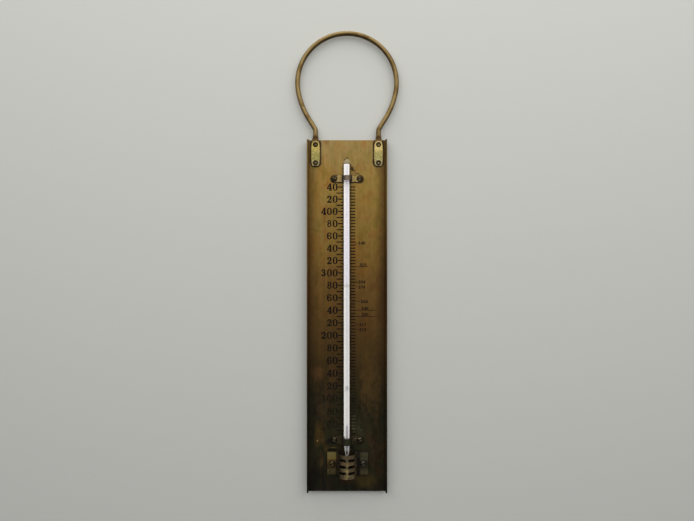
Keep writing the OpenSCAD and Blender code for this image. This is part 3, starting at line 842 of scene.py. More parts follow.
@dataclass(frozen=True)
class GlassFinish:
    """Clear drawn glass, darkened along its outline by painted refraction, milky in its round top and
    darkened over its bulb and neck by painted shade.
    """

    datum: Datum
    strap_top: float = 36.0
    # Colour of the painted dark refraction along the outline
    edge: Colour = tone(58, 48, 34)
    milk: Colour = tone(170, 162, 134)
    # Colour of the painted shade over the bulb and neck
    blackening: Colour = tone(22, 18, 13)

    def made(self) -> Material:
        """Paints the material.

        Returns:
            The material.
        """
        paint = Paint("tube_glass", self.datum)
        slope = paint.slope
        across, up = paint.spot
        clear = paint.node("ShaderNodeBsdfTransparent", {"Color": (0.99, 0.99, 0.985, 1.0)})
        shine = paint.node("ShaderNodeBsdfGlossy", {"Roughness": 0.08})
        front = 1 - paint.node("ShaderNodeNewGeometry", output="Backfacing")
        mirrored = paint.node("ShaderNodeFresnel", {"IOR": 1.45}) * (0.75 + paint.noise(500, 2.0, 0.1) * 0.5)
        glass = paint.shaders(mirrored * front, clear, shine)
        in_top, tip = slope(up, 214.9, 215.9), slope(up, 218.2, 218.8)
        # Painted refraction: the glass goes dark brown where it is seen at a grazing angle, along the tube's
        # outline
        grazing = paint.node("ShaderNodeLayerWeight", {"Blend": 0.5}, "Facing")
        rim = slope(grazing, 0.28, 0.6) * 0.8 * (1 - in_top) * slope(abs(across), 0.9, 1.4)
        drop = paint.patch((0.0, 26.6), (0.55, 2.0), 0.0, 0.5, 0.2)
        # Painted shade over the bulb and neck, which lie inside the guard
        near_foot = slope(up, 24.6, 23.6)
        edge, milk, blackening = (paint.matt(colour) for colour in (self.edge, self.milk, self.blackening))
        body = paint.shaders(in_top * (1 - tip), edge, milk)
        body = paint.shaders(paint.maths("MAXIMUM", drop, near_foot), body, blackening)
        above = up - self.strap_top
        corner = slope(across * across * 0.42 - above, -0.25, 0.35) * slope(above, 4.0, 2.4)
        corner = corner * slope(above, -1.0, -0.4) * 0.7
        cover = paint.maths("MAXIMUM", rim, in_top * (0.4 + tip * 0.35)) + drop * 0.8 + near_foot * 0.85 + corner
        return paint.ended(paint.shaders((cover * front).clamped(), glass, body))


@dataclass(frozen=True)
class EnamelFinish:
    """Opaque white glass, violet along its middle, grey in its tongue, with flecks and one faint ring."""

    datum: Datum
    flaw: float = 135.4

    def made(self) -> Material:
        """Paints the material.

        Returns:
            The material.
        """
        paint = Paint("enamel", self.datum)
        slope = paint.slope
        across, up = paint.spot
        middle = slope(abs(across), 1.4, 0.3) * (0.45 + slope(up, 60, 170) * 0.35)
        paint.colour = paint.mix(middle, tone(250, 247, 243), tone(222, 217, 230))
        violet = slope(up, self.flaw - 1.0, self.flaw + 4.0) * slope(up, 200, 160)
        paint.lay(violet * 0.5, tone(230, 224, 244))
        paint.lay(slope(paint.noise(600, 4.0, 0.2), 0.58, 0.74) * 0.12, tone(204, 202, 212))
        paint.lay(slope(abs(up - self.flaw), 1.3, 0.5) * 0.35, tone(168, 160, 158))
        paint.lay(slope(up, 32.0, 25.5) * 0.8, tone(158, 155, 144))
        return paint.surface(Roughness=0.35, Coat_Weight=0.3)


@dataclass(frozen=True)
class MercuryFinish:
    """Liquid mirror."""

    def made(self) -> Material:
        """Paints the material.

        Returns:
            The material.
        """
        paint = Paint("mercury")
        film = paint.noise(400, 2.0)
        paint.colour = paint.mix(film, tone(212, 209, 222), tone(234, 232, 240))
        return paint.surface(Metallic=0.8, Roughness=0.48 + film * 0.1)


@dataclass(frozen=True)
class LeatherFinish:
    """Thin dark leather that has taken up syrup."""

    def made(self) -> Material:
        """Paints the material.

        Returns:
            The material.
        """
        paint = Paint("packing")
        pores = paint.noise(2200, 5.0, roughness=0.7)
        paint.colour = paint.mix(pores, tone(60, 44, 30), tone(104, 80, 54))
        return paint.surface(Roughness=0.7 + pores * 0.2, Normal=paint.bump(pores, 0.5, 0.06))


@dataclass(frozen=True)
class FillingFinish:
    """Black wax rubbed into the engraving, thin in places and under the plate's grime at its foot."""

    datum: Datum

    def made(self) -> Material:
        """Paints the material.

        Returns:
            The material.
        """
        paint = Paint("black_filling", self.datum)
        slope = paint.slope
        thin = slope(paint.noise(900, 4.0, roughness=0.7), 0.56, 0.74)
        grime = slope(paint.spot[1], 82, 56) * slope(paint.noise(420, 4.0), 0.36, 0.56)
        paint.colour = paint.mix(thin * 0.3, tone(16, 10, 5), tone(60, 42, 20))
        paint.lay(grime * 0.75, tone(30, 30, 19))
        return paint.surface(Roughness=0.7 + thin * 0.2, Specular_IOR_Level=0.1)


@dataclass(frozen=True)
class WallFinish:
    """Pale matt board, drawn on its front alone so that the back of the object can be seen."""

    colour: Colour
    shade: float = 0.97

    def made(self) -> Material:
        """Paints the material.

        Returns:
            The material.
        """
        paint = Paint("pale_board")
        shaded = tuple(self.shade * part for part in self.colour)
        front = paint.shaders(paint.noise(6, 2.0) * 0.5, paint.matt(self.colour), paint.matt(shaded))
        back = paint.node("ShaderNodeBsdfTransparent")
        behind = paint.node("ShaderNodeNewGeometry", output="Backfacing")
        return paint.ended(paint.shaders(behind, front, back))


# Meshes


def placed(name: str, made: Mesh | bpy.types.ID, finish: Material | None = None) -> Piece:
    """Puts a mesh, a light or a camera in the scene.

    Args:
        name: Its name.
        made: What goes in; a loose mesh is used up.
        finish: A mesh's material.

    Returns:
        The piece, at the origin.
    """
    data = made
    if isinstance(made, Mesh):
        data = bpy.data.meshes.new(name)
        made.to_mesh(data)
        made.free()
    if finish:
        data.materials.append(finish)
    piece = bpy.data.objects.new(name, data)
    bpy.context.scene.collection.objects.link(piece)
    return piece


def flattened(piece: Piece) -> Piece:
    """Turns what a piece's modifiers make into its own plain mesh.

    Args:
        piece: The piece.

    Returns:
        The piece without modifiers.
    """
    graph = bpy.context.evaluated_depsgraph_get()
    mesh = bpy.data.meshes.new_from_object(piece.evaluated_get(graph), depsgraph=graph)
    mesh.name = piece.name
    piece.modifiers.clear()
    piece.data = mesh
    return piece


def taken_up(piece: Piece) -> Mesh:
    """Removes a piece from the scene.

    Args:
        piece: The piece.

    Returns:
        Its mesh.
    """
    mesh = bmesh.new()
    mesh.from_mesh(piece.data)
    bpy.data.objects.remove(piece)
    return mesh


def copy_of(node: str) -> Mesh:
    """Copies a solid's mesh.

    Args:
        node: The solid.

    Returns:
        The copy.
    """
    copy = bmesh.new()
    copy.from_mesh(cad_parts[node].data)
    return copy


def carved(blank: Mesh, tool: Mesh, operation: str) -> Mesh:
    """Cuts a blank with a tool.

    Args:
        blank: The blank, which is used up.
        tool: The tool, which is used up.
        operation: DIFFERENCE takes the tool away, INTERSECT keeps what is in it.

    Returns:
        The cut mesh.
    """
    piece, cutter = placed("blank", blank), placed("tool", tool)
    cut = piece.modifiers.new("cut", "BOOLEAN")
    cut.operation = operation
    cut.object = cutter
    cut.solver = "EXACT"
    flattened(piece)
    bpy.data.objects.remove(cutter)
    return taken_up(piece)


def cleaned(mesh: Mesh, flat_to: float) -> Mesh:
    """Joins a mesh's loose corners and its nearly flat faces.

    Args:
        mesh: The mesh, which is changed.
        flat_to: Faces that meet at less than this many degrees become one.

    Returns:
        The same mesh.
    """
    bmesh.ops.remove_doubles(mesh, verts=mesh.verts, dist=1e-6)
    bmesh.ops.dissolve_limit(mesh, angle_limit=math.radians(flat_to), verts=mesh.verts, edges=mesh.edges)
    return mesh


def bevelled(mesh: Mesh, width: float, rings: int, sharp_from: float) -> Mesh:
    """Takes the sharp edges off a mesh.

    Args:
        mesh: The mesh.
        width: How wide the edges get, in millimetres.
        rings: How many steps round an edge.
        sharp_from: The least angle of a sharp edge, in degrees.

    Returns:
        The same mesh.
    """
    sharp = [edge for edge in mesh.edges if edge.calc_face_angle(0.0) > math.radians(sharp_from)]
    size = {"offset": width * MM, "segments": rings, "profile": 0.5, "clamp_overlap": True}
    bmesh.ops.bevel(mesh, geom=sharp, affect="EDGES", **size)
    return mesh


def smoothed(piece: Piece, sharp_from: float) -> Piece:
    """Shades a piece smooth except over its sharp edges.

    Args:
        piece: The piece.
        sharp_from: The least angle of a sharp edge, in degrees.

    Returns:
        The piece.
    """
    piece.data.shade_smooth()
    piece.data.set_sharp_from_angle(angle=math.radians(sharp_from))
    return piece


def softened(
    name: str, mesh: Mesh, width: float, finish: Material
) -> Piece:
    """Makes a piece with softly rounded edges.

    Args:
        name: The piece's name.
        mesh: Its mesh, which is used up.
        width: How wide the edges get, in millimetres.
        finish: Its material.

    Returns:
        The piece.
    """
    rounded = bevelled(cleaned(mesh, 1.5), width, rings=2, sharp_from=40)
    piece = smoothed(placed(name, rounded, finish), 60.0)
    piece.modifiers.new("even_shading", "WEIGHTED_NORMAL").keep_sharp = True
    return flattened(piece)


def join_rings(mesh: Mesh, rings: Sequence[Sequence[bmesh.types.BMVert]]) -> None:
    """Walls a mesh between rings of corners; a ring may be one corner repeated.

    Args:
        mesh: The mesh.
        rings: The rings, all with the same number of corners.
    """
    for low, high in zip(rings, rings[1:]):
        for i in range(len(low)):
            j = (i + 1) % len(low)
            corners = list(dict.fromkeys((low[i], low[j], high[j], high[i])))
            if len(corners) > 2:
                mesh.faces.new(corners)


def lathe(profile: Outline, sides: int) -> Mesh:
    """Turns a closed or pole-ended outline round the Z axis.

    Args:
        profile: Radius and height of each point, in millimetres, from pole to pole.
        sides: How many sides the turned piece has.

    Returns:
        The turned mesh, with its faces outwards.
    """
    mesh = bmesh.new()
    turn = 2 * math.pi / sides
    rings = []
    for radius, height in profile:
        angles = [i * turn for i in range(sides)] if radius else [0.0]
        places = [(radius * MM * math.cos(angle), radius * MM * math.sin(angle)) for angle in angles]
        ring = [mesh.verts.new((x, y, height * MM)) for x, y in places]
        rings.append(ring * (sides // len(ring)))
    join_rings(mesh, rings)
    bmesh.ops.recalc_face_normals(mesh, faces=mesh.faces)
    return mesh


def block(size: Vector) -> Mesh:
    """Makes a box about the origin.

    Args:
        size: Its size, in metres.

    Returns:
        The box.
    """
    mesh = bmesh.new()
    bmesh.ops.create_cube(mesh, size=1.0)
    mesh.transform(Matrix.Diagonal(size).to_4x4())
    return mesh


def arc(centre: tuple[float, float], radius: float, start: float, end: float, steps: int) -> Outline:
    """Returns the points of an arc from one angle to another, in degrees and both ends among them."""
    angles = [math.radians(start + (end - start) * i / steps) for i in range(steps + 1)]
    return [(centre[0] + radius * math.cos(a), centre[1] + radius * math.sin(a)) for a in angles]


def smoothstep(share: float) -> float:
    """Returns a smooth rise from 0 to 1 over the same range."""
    share = min(max(share, 0.0), 1.0)
    return share * share * (3 - 2 * share)


def settled(piece: Piece, slot: str, *nodes: str) -> None:
    """Fixes a finished piece to the instrument, in place of the solids that it stands for.

    Args:
        piece: The piece.
        slot: The name of a material slot; not used.
        *nodes: The solids that it stands for.
    """
    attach(piece, INSTRUMENT)
    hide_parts(*nodes)
    LOG.info("%s: %d faces for %s", piece.name, len(piece.data.polygons), ", ".join(nodes))


def dressed(finish: Material, *nodes: str) -> None:
    """Gives solids that stay their finish.

    Args:
        finish: Their material.
        *nodes: The solids.
    """
    for node in nodes:
        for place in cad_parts[node].material_slots:
            place.material = finish
        LOG.info("%s: %s", node, finish.name)


@dataclass(frozen=True)
class Spot:
    """A place on the plate, with a turn in degrees about the line out of its face."""

    across: float
    up: float
    out: float = 0.0
    turn: float = 0.0


def repeated(
    name: str,
    sample: Mesh,
    spots: Sequence[Spot],
    datum: Datum,
    finish: Material,
) -> Piece:
    """Repeats a sample at a row of spots.

    Args:
        name: The piece's name.
        sample: The sample, drawn with Z out of the plate's face, which is used up.
        spots: Where it goes.
        datum: The plate's place.
        finish: The material of all copies.

    Returns:
        The piece that holds all copies.
    """
    sample.transform(Matrix.Rotation(math.radians(90), 4, "X"))
    model = placed(name + "_sample", sample)
    points = bpy.data.meshes.new(name)
    points.from_pydata([datum.at(spot.across, spot.up, spot.out) for spot in spots], [], [])
    turns = points.attributes.new("turn", "FLOAT", "POINT")
    turns.data.foreach_set("value", [-math.radians(spot.turn) for spot in spots])
    piece = placed(name, points)
    pattern = Pattern(name + "_pattern", {"Sample": model, "Finish": finish})
    turn = pattern.joined(0.0, pattern.attribute("turn"), 0.0)
    sockets = {
        "Points": pattern.size("Geometry"),
        "Instance": pattern.geometry_of("Sample"),
        "Rotation": pattern.node("FunctionNodeEulerToRotation", {0: turn}),
    }
    pattern.applied(piece, pattern.node("GeometryNodeInstanceOnPoints", sockets))
    bpy.data.objects.remove(model)
    return piece


# The object's own pieces


@dataclass
class ScalePlate:
    """The folded brass sheet."""

    datum: Datum
    length: float = 231.5
    width: float = 52.6
    edge: float = 0.12

    def build(self) -> None:
        """Rounds the sheet's cut edges and gives it its tarnish."""
        finish = PlateFinish(self.datum, self.length, self.width / 2).made()
        sheet = softened("plate_sheet", copy_of("scale_plate"), self.edge, finish)
        settled(sheet, "plate_brass", "scale_plate")


@dataclass
class HangingLoop:
    """The bent rod, forged flat at both ends and held by sunk rivets."""

    datum: Datum
    rod: float = 1.6
    top: float = 32.6
    side: float = 50.0
    side_lean: float = 10.0
    neck_lean: float = 32.0
    leg: float = 20.75
    leg_top: float = 237.2
    leg_steps: int = 70
    bend: float = 4.0
    flare_top: float = 235.7
    pad_top: float = 231.7
    pad_length: float = 17.2
    pad_width: float = 6.2
    pad_neck: float = 4.2
    pad_foot: float = 3.9
    pad_widest: float = 0.9
    pad_thick: float = 1.4
    bevel_slope: float = 0.54
    squareness: float = 0.78
    rivets: tuple[float, float] = (228.35, 216.35)
    rivet_sides: int = 28
    sink: float = 0.9
    sink_radius: float = 1.35
    sides: int = 40

    def _half_path(self) -> Outline:
        """Draws the rod's middle line down its right side.

        Returns:
            Its points from the loop's top, across and up.
        """
        _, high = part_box("hanging_loop")
        centre_up = (high.z - self.datum.foot_z) / MM - self.top - self.rod
        lean = math.radians(self.side_lean)
        offset = self.top - self.side
        side_centre = (offset * math.cos(lean), centre_up - offset * math.sin(lean))
        path = arc((0.0, centre_up), self.top, 90.0, -self.side_lean, 60)
        path += arc(side_centre, self.side, -self.side_lean, -self.neck_lean, 14)[1:]
        bend = arc((self.leg + self.bend, self.leg_top), self.bend, 180.0 - self.neck_lean, 180.0, 10)
        (x, z), (end_x, end_z) = path[-1], bend[0]
        path += [(x + (end_x - x) * i / 4, z + (end_z - z) * i / 4) for i in range(1, 4)] + bend
        fall, steps = self.pad_top - self.pad_length - self.leg_top, self.leg_steps
        return path + [(self.leg, self.leg_top + fall * i / steps) for i in range(1, steps + 1)]

    def _section(self, across: float, up: float) -> tuple[float, float, float]:
        """Returns the rod's section at a place.

        Args:
            across: Distance from the centre line.
            up: Height above the plate's lower edge.

        Returns:
            Half width and half thickness in millimetres, and the power that squares the section.
        """
        if up >= self.flare_top or abs(across) > self.leg + 0.01:
            return self.rod, self.rod, 1.0
        forged = smoothstep((self.flare_top - up) / (self.flare_top - self.pad_top + 0.6))
        middle = self.pad_top - self.pad_length / 2 - self.pad_widest
        bulge = (self.pad_width - self.pad_neck) / 2
        reach = self.pad_length / 2 + self.pad_widest
        barrel = (reach**2 + bulge**2) / (2 * bulge)
        half = self.pad_width / 2 - barrel + math.sqrt(barrel**2 - min(abs(up - middle), reach) ** 2)
        foot = self.pad_top - self.pad_length
        half = min(half, self.pad_foot / 2 + (up - foot) * self.bevel_slope)
        width = self.rod + (half - self.rod) * forged
        thick = self.rod + (self.pad_thick / 2 - self.rod) * forged
        return width, thick, 1.0 - self.squareness * forged

    def _rivet_spots(self) -> list[Spot]:
        """Returns the places of the four rivets."""
        return [Spot(side * self.leg, up, turn=side * up) for side in (-1, 1) for up in self.rivets]

    def _sinks(self, finish: Material) -> Piece:
        """Makes the cutters of the holes that the rivets sit in.

        Args:
            finish: The rod's material.

        Returns:
            The cutters.
        """
        floor, above = self.pad_thick - self.sink, self.pad_thick + 0.8
        flared = self.sink_radius + 0.1
        hole = [(0.0, -0.3), (1.0, -0.3), (1.0, floor), (self.sink_radius, floor)]
        cutter = lathe(hole + [(flared, above), (0.0, above)], self.rivet_sides)
        return repeated("rivet_sinks", cutter, self._rivet_spots(), self.datum, finish)

    def _rivet(self) -> Mesh:
        """Turns one rivet: a sunk head, a shank through the plate and a tail behind it.

        Returns:
            The rivet, with Z out of the plate's face.
        """
        seat = self.pad_thick - self.sink
        tail = [(0.0, -1.7), (0.7, -1.62), (1.3, -1.4), (1.65, -1.08), (1.7, -1.0), (0.9, -1.0), (0.9, seat)]
        head = [(1.2, 0.0), (1.2, 0.1), (1.05, 0.24), (0.6, 0.36), (0.0, 0.4)]
        return lathe(tail + [(radius, seat + up) for radius, up in head], self.rivet_sides)

    def _line(self) -> bpy.types.Mesh:
        """Makes the rod's middle line.

        Returns:
            The line, whose points carry the rod's section and their own places.
        """
        half = self._half_path()
        path = [(-across, up) for across, up in reversed(half)] + half[1:]
        line = bpy.data.meshes.new("loop_rod")
        places = [self.datum.at(across, up, self.pad_thick / 2) for across, up in path]
        line.from_pydata(places, [(i, i + 1) for i in range(len(path) - 1)], [])
        widths, depths, powers = zip(*(self._section(across, up) for across, up in path))
        numbers = {
            "breadth": [width / self.rod for width in widths],
            "depth": [depth / self.rod for depth in depths],
            "squareness": powers,
        }
        for name, values in numbers.items():
            line.attributes.new(name, "FLOAT", "POINT").data.foreach_set("value", values)
        centres = line.attributes.new("centre", "FLOAT_VECTOR", "POINT")
        centres.data.foreach_set("vector", [part for place in places for part in place])
        return line

    def _rod(self, finish: Material) -> Piece:
        """Sweeps the rod along its line, forges its ends and sinks the rivets' holes.

        Args:
            finish: The rod's material.

        Returns:
            The rod.
        """
        piece, sinks = placed("loop_rod", self._line()), self._sinks(finish)
        sizes = {"Radius": self.rod * MM, "Sides": self.sides, "Sinks": sinks, "Finish": finish}
        pattern = Pattern("swept_rod", sizes)
        radius, power = pattern.size("Radius"), pattern.attribute("squareness")
        curve = pattern.node("GeometryNodeMeshToCurve", {"Mesh": pattern.size("Geometry")})
        ring = pattern.node(
            "GeometryNodeCurvePrimitiveCircle", {"Resolution": pattern.size("Sides"), "Radius": radius}
        )
        sweep = {"Curve": curve, "Profile Curve": ring, "Fill Caps": True}
        swept = pattern.node("GeometryNodeCurveToMesh", sweep)
        centre = pattern.attribute("centre", "FLOAT_VECTOR")
        place = pattern.node("GeometryNodeInputPosition")
        x, y, z = pattern.split(pattern.vector_maths("SUBTRACT", place, centre))
        wide, deep = (
            part.sign() * (abs(part) / radius) ** power * pattern.attribute(name) * radius
            for part, name in ((x, "breadth"), (y, "depth"))
        )
        forged = {
            "Geometry": swept,
            "Position": pattern.vector_maths("ADD", centre, pattern.joined(wide, deep, z)),
        }
        pattern.applied(piece, pattern.cut(pattern.node("GeometryNodeSetPosition", forged), "Sinks"))
        bpy.data.objects.remove(sinks)
        return smoothed(piece, 38.0)

    def build(self) -> None:
        """Makes the rod and its rivets."""
        finish = LoopFinish(self.datum, self.leg, self.pad_top, self.rivets).made()
        settled(self._rod(finish), "loop_brass", "hanging_loop")
        brass = Fitting.RIVET.finish(self.datum)
        rivets = repeated("loop_rivets", self._rivet(), self._rivet_spots(), self.datum, brass)
        names = [f"{end}_{side}_loop_rivet" for side in ("left", "right") for end in ("upper", "lower")]
        settled(smoothed(rivets, 35.0), "rivet_brass", *names)


@dataclass
class TubeClips:
    """The two straps over the tube and all slotted screws, with their nuts and packing slips."""

    datum: Datum
    seat: float = 0.45
    guard_seat: float = 0.8
    slot: tuple[float, float] = (0.6, 0.65)
    guard_slot: tuple[float, float] = (0.85, 0.8)
    head: float = 2.1
    head_high: float = 1.2
    head_sides: int = 36
    shank: float = 1.0
    shank_end: float = 2.9
    shank_chamfer: float = 0.25
    screw_edge: float = 0.05
    nut_flats: float = 4.2
    nut_thick: float = 1.5
    nut_chamfer: float = 0.3
    nut_play: float = 0.05
    nut_mouth: float = 0.2
    nut_sides: int = 48
    edge: float = 0.1
    arch_half: float = 3.9

    # Each strap's height on the plate, how many times as tall its arch is drawn and how much lower
    straps: Rows = ((206.1, 1.0, 0.0), (33.9, 1.4, 0.2))
    # Each screw's place across and up the plate, and the turn of its slot
    clip_screws: Rows = ((-8.4, 206.1, 82.0), (8.4, 206.1, 38.0), (-8.4, 33.9, -8.0), (8.4, 33.9, 26.0))
    guard_screws: Rows = ((-9.6, 18.4, 32.0), (10.7, 18.4, 28.0))

    CORNERS = ("upper_left_clip", "upper_right_clip", "lower_left_clip", "lower_right_clip")
    EARS = ("left_guard", "right_guard")

    def _straps(self) -> None:
        """Softens the straps and draws each one's arch as much taller and lower as its row says."""
        finish = Fitting.CLIP.finish(self.datum)
        for end, (up, taller, drop) in zip(("upper", "lower"), self.straps):
            strap = softened(f"{end}_strap", copy_of(f"{end}_clip"), self.edge, finish)
            middle = self.datum.at(0.0, up).z
            for point in strap.data.vertices:
                if abs(point.co.x) < self.arch_half * MM:
                    point.co.z = middle - drop * MM + (point.co.z - middle) * taller
            settled(strap, "clip_brass", f"{end}_clip")

    def _screw(self, seat: float, slot: tuple[float, float]) -> Mesh:
        """Returns a slotted round-head screw that reaches through the plate and its nut.

        Args:
            seat: How far its seat stands in front of the plate's face, in millimetres.
            slot: The slot's width and depth, in millimetres.

        Returns:
            The screw, with Z out of the plate's face from its seat.
        """
        ball = (self.head**2 + self.head_high**2) / (2 * self.head_high)
        reach = math.degrees(math.asin(self.head / ball))
        dome = arc((0.0, self.head_high - ball), ball, 90.0 - reach, 90.0, 10)[:-1]
        end, chamfer = -self.shank_end - seat, self.shank_chamfer
        shank = [(0.0, end), (self.shank - chamfer, end), (self.shank, end + chamfer), (self.shank, 0.0)]
        body = lathe(shank + dome + [(0.0, self.head_high)], self.head_sides)
        blade = block(Vector((3 * self.head, slot[0], self.head_high)) * MM)
        blade.transform(Matrix.Translation((0.0, 0.0, (self.head_high * 1.5 - slot[1]) * MM)))
        return bevelled(carved(body, blade, "DIFFERENCE"), self.screw_edge, rings=1, sharp_from=50)

    def _nut(self) -> Mesh:
        """Makes a hexagon nut with turned corners.

        Returns:
            The nut, with Z out of the plate's face.
        """
        corner, flat = self.nut_flats / 2 / math.cos(math.radians(30)), self.nut_flats / 2
        half, bore = self.nut_thick / 2, self.shank + self.nut_play
        mouth, outer, inner = bore + self.nut_mouth, half - self.nut_chamfer, half - self.nut_mouth
        profile = [(mouth, -half), (flat, -half), (corner, -outer), (corner, outer), (flat, half)]
        profile += [(mouth, half), (bore, inner), (bore, -inner), (mouth, -half)]
        turned = lathe(profile, self.nut_sides)
        bmesh.ops.remove_doubles(turned, verts=turned.verts, dist=1e-7)
        bmesh.ops.recalc_face_normals(turned, faces=turned.faces)
        prism = bmesh.new()
        size = {"radius1": corner * MM, "radius2": corner * MM, "depth": 2 * self.nut_thick * MM}
        bmesh.ops.create_cone(prism, cap_ends=True, segments=6, **size)
        return carved(turned, prism, "INTERSECT")

    def _screws(self) -> None:
        """Makes the clips' four screws as one piece and each guard screw as a piece of its own."""
        brass = Fitting.SCREW.finish(self.datum)
        spots = [Spot(across, up, self.seat, turn) for across, up, turn in self.clip_screws]
        screws = repeated("clip_screws", self._screw(self.seat, self.slot), spots, self.datum, brass)
        settled(smoothed(screws, 35.0), "screw_brass", *[f"{corner}_screw" for corner in self.CORNERS])
        fittings = (Fitting.LEFT_GUARD_SCREW, Fitting.RIGHT_GUARD_SCREW)
        for ear, fitting, (across, up, turn) in zip(self.EARS, fittings, self.guard_screws):
            name = ear.replace("guard", "slotted_screw")
            sample = self._screw(self.guard_seat, self.guard_slot)
            spots = [Spot(across, up, self.guard_seat, turn)]
            screw = repeated(name, sample, spots, self.datum, fitting.finish(self.datum))
            settled(smoothed(screw, 35.0), "screw_brass", f"{ear}_screw")

    def build(self) -> None:
        """Makes the straps, screws and nuts, and dresses the packing slips."""
        self._straps()
        self._screws()
        behind = -SHEET - self.nut_thick / 2
        spots = [Spot(across, up, behind) for across, up, _ in self.clip_screws + self.guard_screws]
        nuts = repeated("back_nuts", self._nut(), spots, self.datum, Fitting.NUT.finish(self.datum))
        settled(smoothed(nuts, 20.0), "nut_brass", *[f"{name}_nut" for name in self.CORNERS + self.EARS])
        dressed(LeatherFinish().made(), "upper_packing", "lower_packing")


@dataclass
class BulbGuard:
    """The arched band over the bulb, pierced by three rows of paired slots."""

    datum: Datum
    radius: float = 6.1
    mid_out: float = 4.4
    thick: float = 0.8
    low: float = 10.8
    length: float = 15.3
    left_ear: float = 13.0
    right_ear: float = 14.0
    steps: int = 36
    rows: int = 3
    pitch: float = 4.15
    slot_high: float = 1.9
    slot_corner: float = 0.35
    first: float = 2.3
    spine: float = 1.5
    reach: float = 5.9
    cutter_deep: float = 5.0
    edge: float = 0.22

    def _band(self) -> Mesh:
        """Bends the band round the bulb.

        Returns:
            The band without its slots, standing with the plate.
        """
        inner = self.radius - self.thick
        outline = [(-self.left_ear, 0.0), (-inner, 0.0)]
        outline += arc((0.0, self.mid_out), inner, 180.0, 0.0, self.steps)
        outline += [(inner, 0.0), (self.right_ear, 0.0)]
        outline += [(self.right_ear, self.thick), (self.radius, self.thick)]
        outline += arc((0.0, self.mid_out), self.radius, 0.0, 180.0, self.steps)
        outline += [(-self.radius, self.thick), (-self.left_ear, self.thick)]
        band = bmesh.new()
        section = band.faces.new([band.verts.new(self.datum.at(x, self.low, out)) for x, out in outline])
        grown = bmesh.ops.extrude_face_region(band, geom=[section])
        top = [item for item in grown["geom"] if isinstance(item, bmesh.types.BMVert)]
        bmesh.ops.translate(band, verts=top, vec=(0.0, 0.0, self.length * MM))
        bmesh.ops.recalc_face_normals(band, faces=band.faces)
        return band

    def _cutters(self, finish: Material) -> Piece:
        """Makes the cutters of the slots.

        Args:
            finish: The guard's material.

        Returns:
            The cutters.
        """
        floor = self.mid_out + math.sqrt(self.radius**2 - self.reach**2)
        wide = self.reach + 1.0 - self.spine / 2
        cutter = block(Vector((wide, self.slot_high, self.cutter_deep)) * MM)
        upright = [edge for edge in cutter.edges if abs(edge.verts[0].co.z - edge.verts[1].co.z) > 1 * MM]
        size = {"offset": self.slot_corner * MM, "segments": 3, "profile": 0.5}
        bmesh.ops.bevel(cutter, geom=upright, affect="EDGES", **size)
        middle = self.spine / 2 + wide / 2
        top = self.low + self.length - self.first - self.slot_high / 2
        spots = [
            Spot(side * middle, top - row * self.pitch, floor + self.cutter_deep / 2)
            for row in range(self.rows)
            for side in (-1, 1)
        ]
        return repeated("guard_cutters", cutter, spots, self.datum, finish)

    def build(self) -> None:
        """Pierces the band and softens its edges."""
        finish = GuardFinish(self.datum, self.low, self.length).made()
        band, cutters = placed("guard_band", self._band()), self._cutters(finish)
        pattern = Pattern("pierced_band", {"Cutters": cutters, "Finish": finish})
        pattern.applied(band, pattern.cut(pattern.size("Geometry"), "Cutters"))
        bpy.data.objects.remove(cutters)
        settled(softened("guard_band", taken_up(band), self.edge, finish), "guard_brass", "bulb_guard")


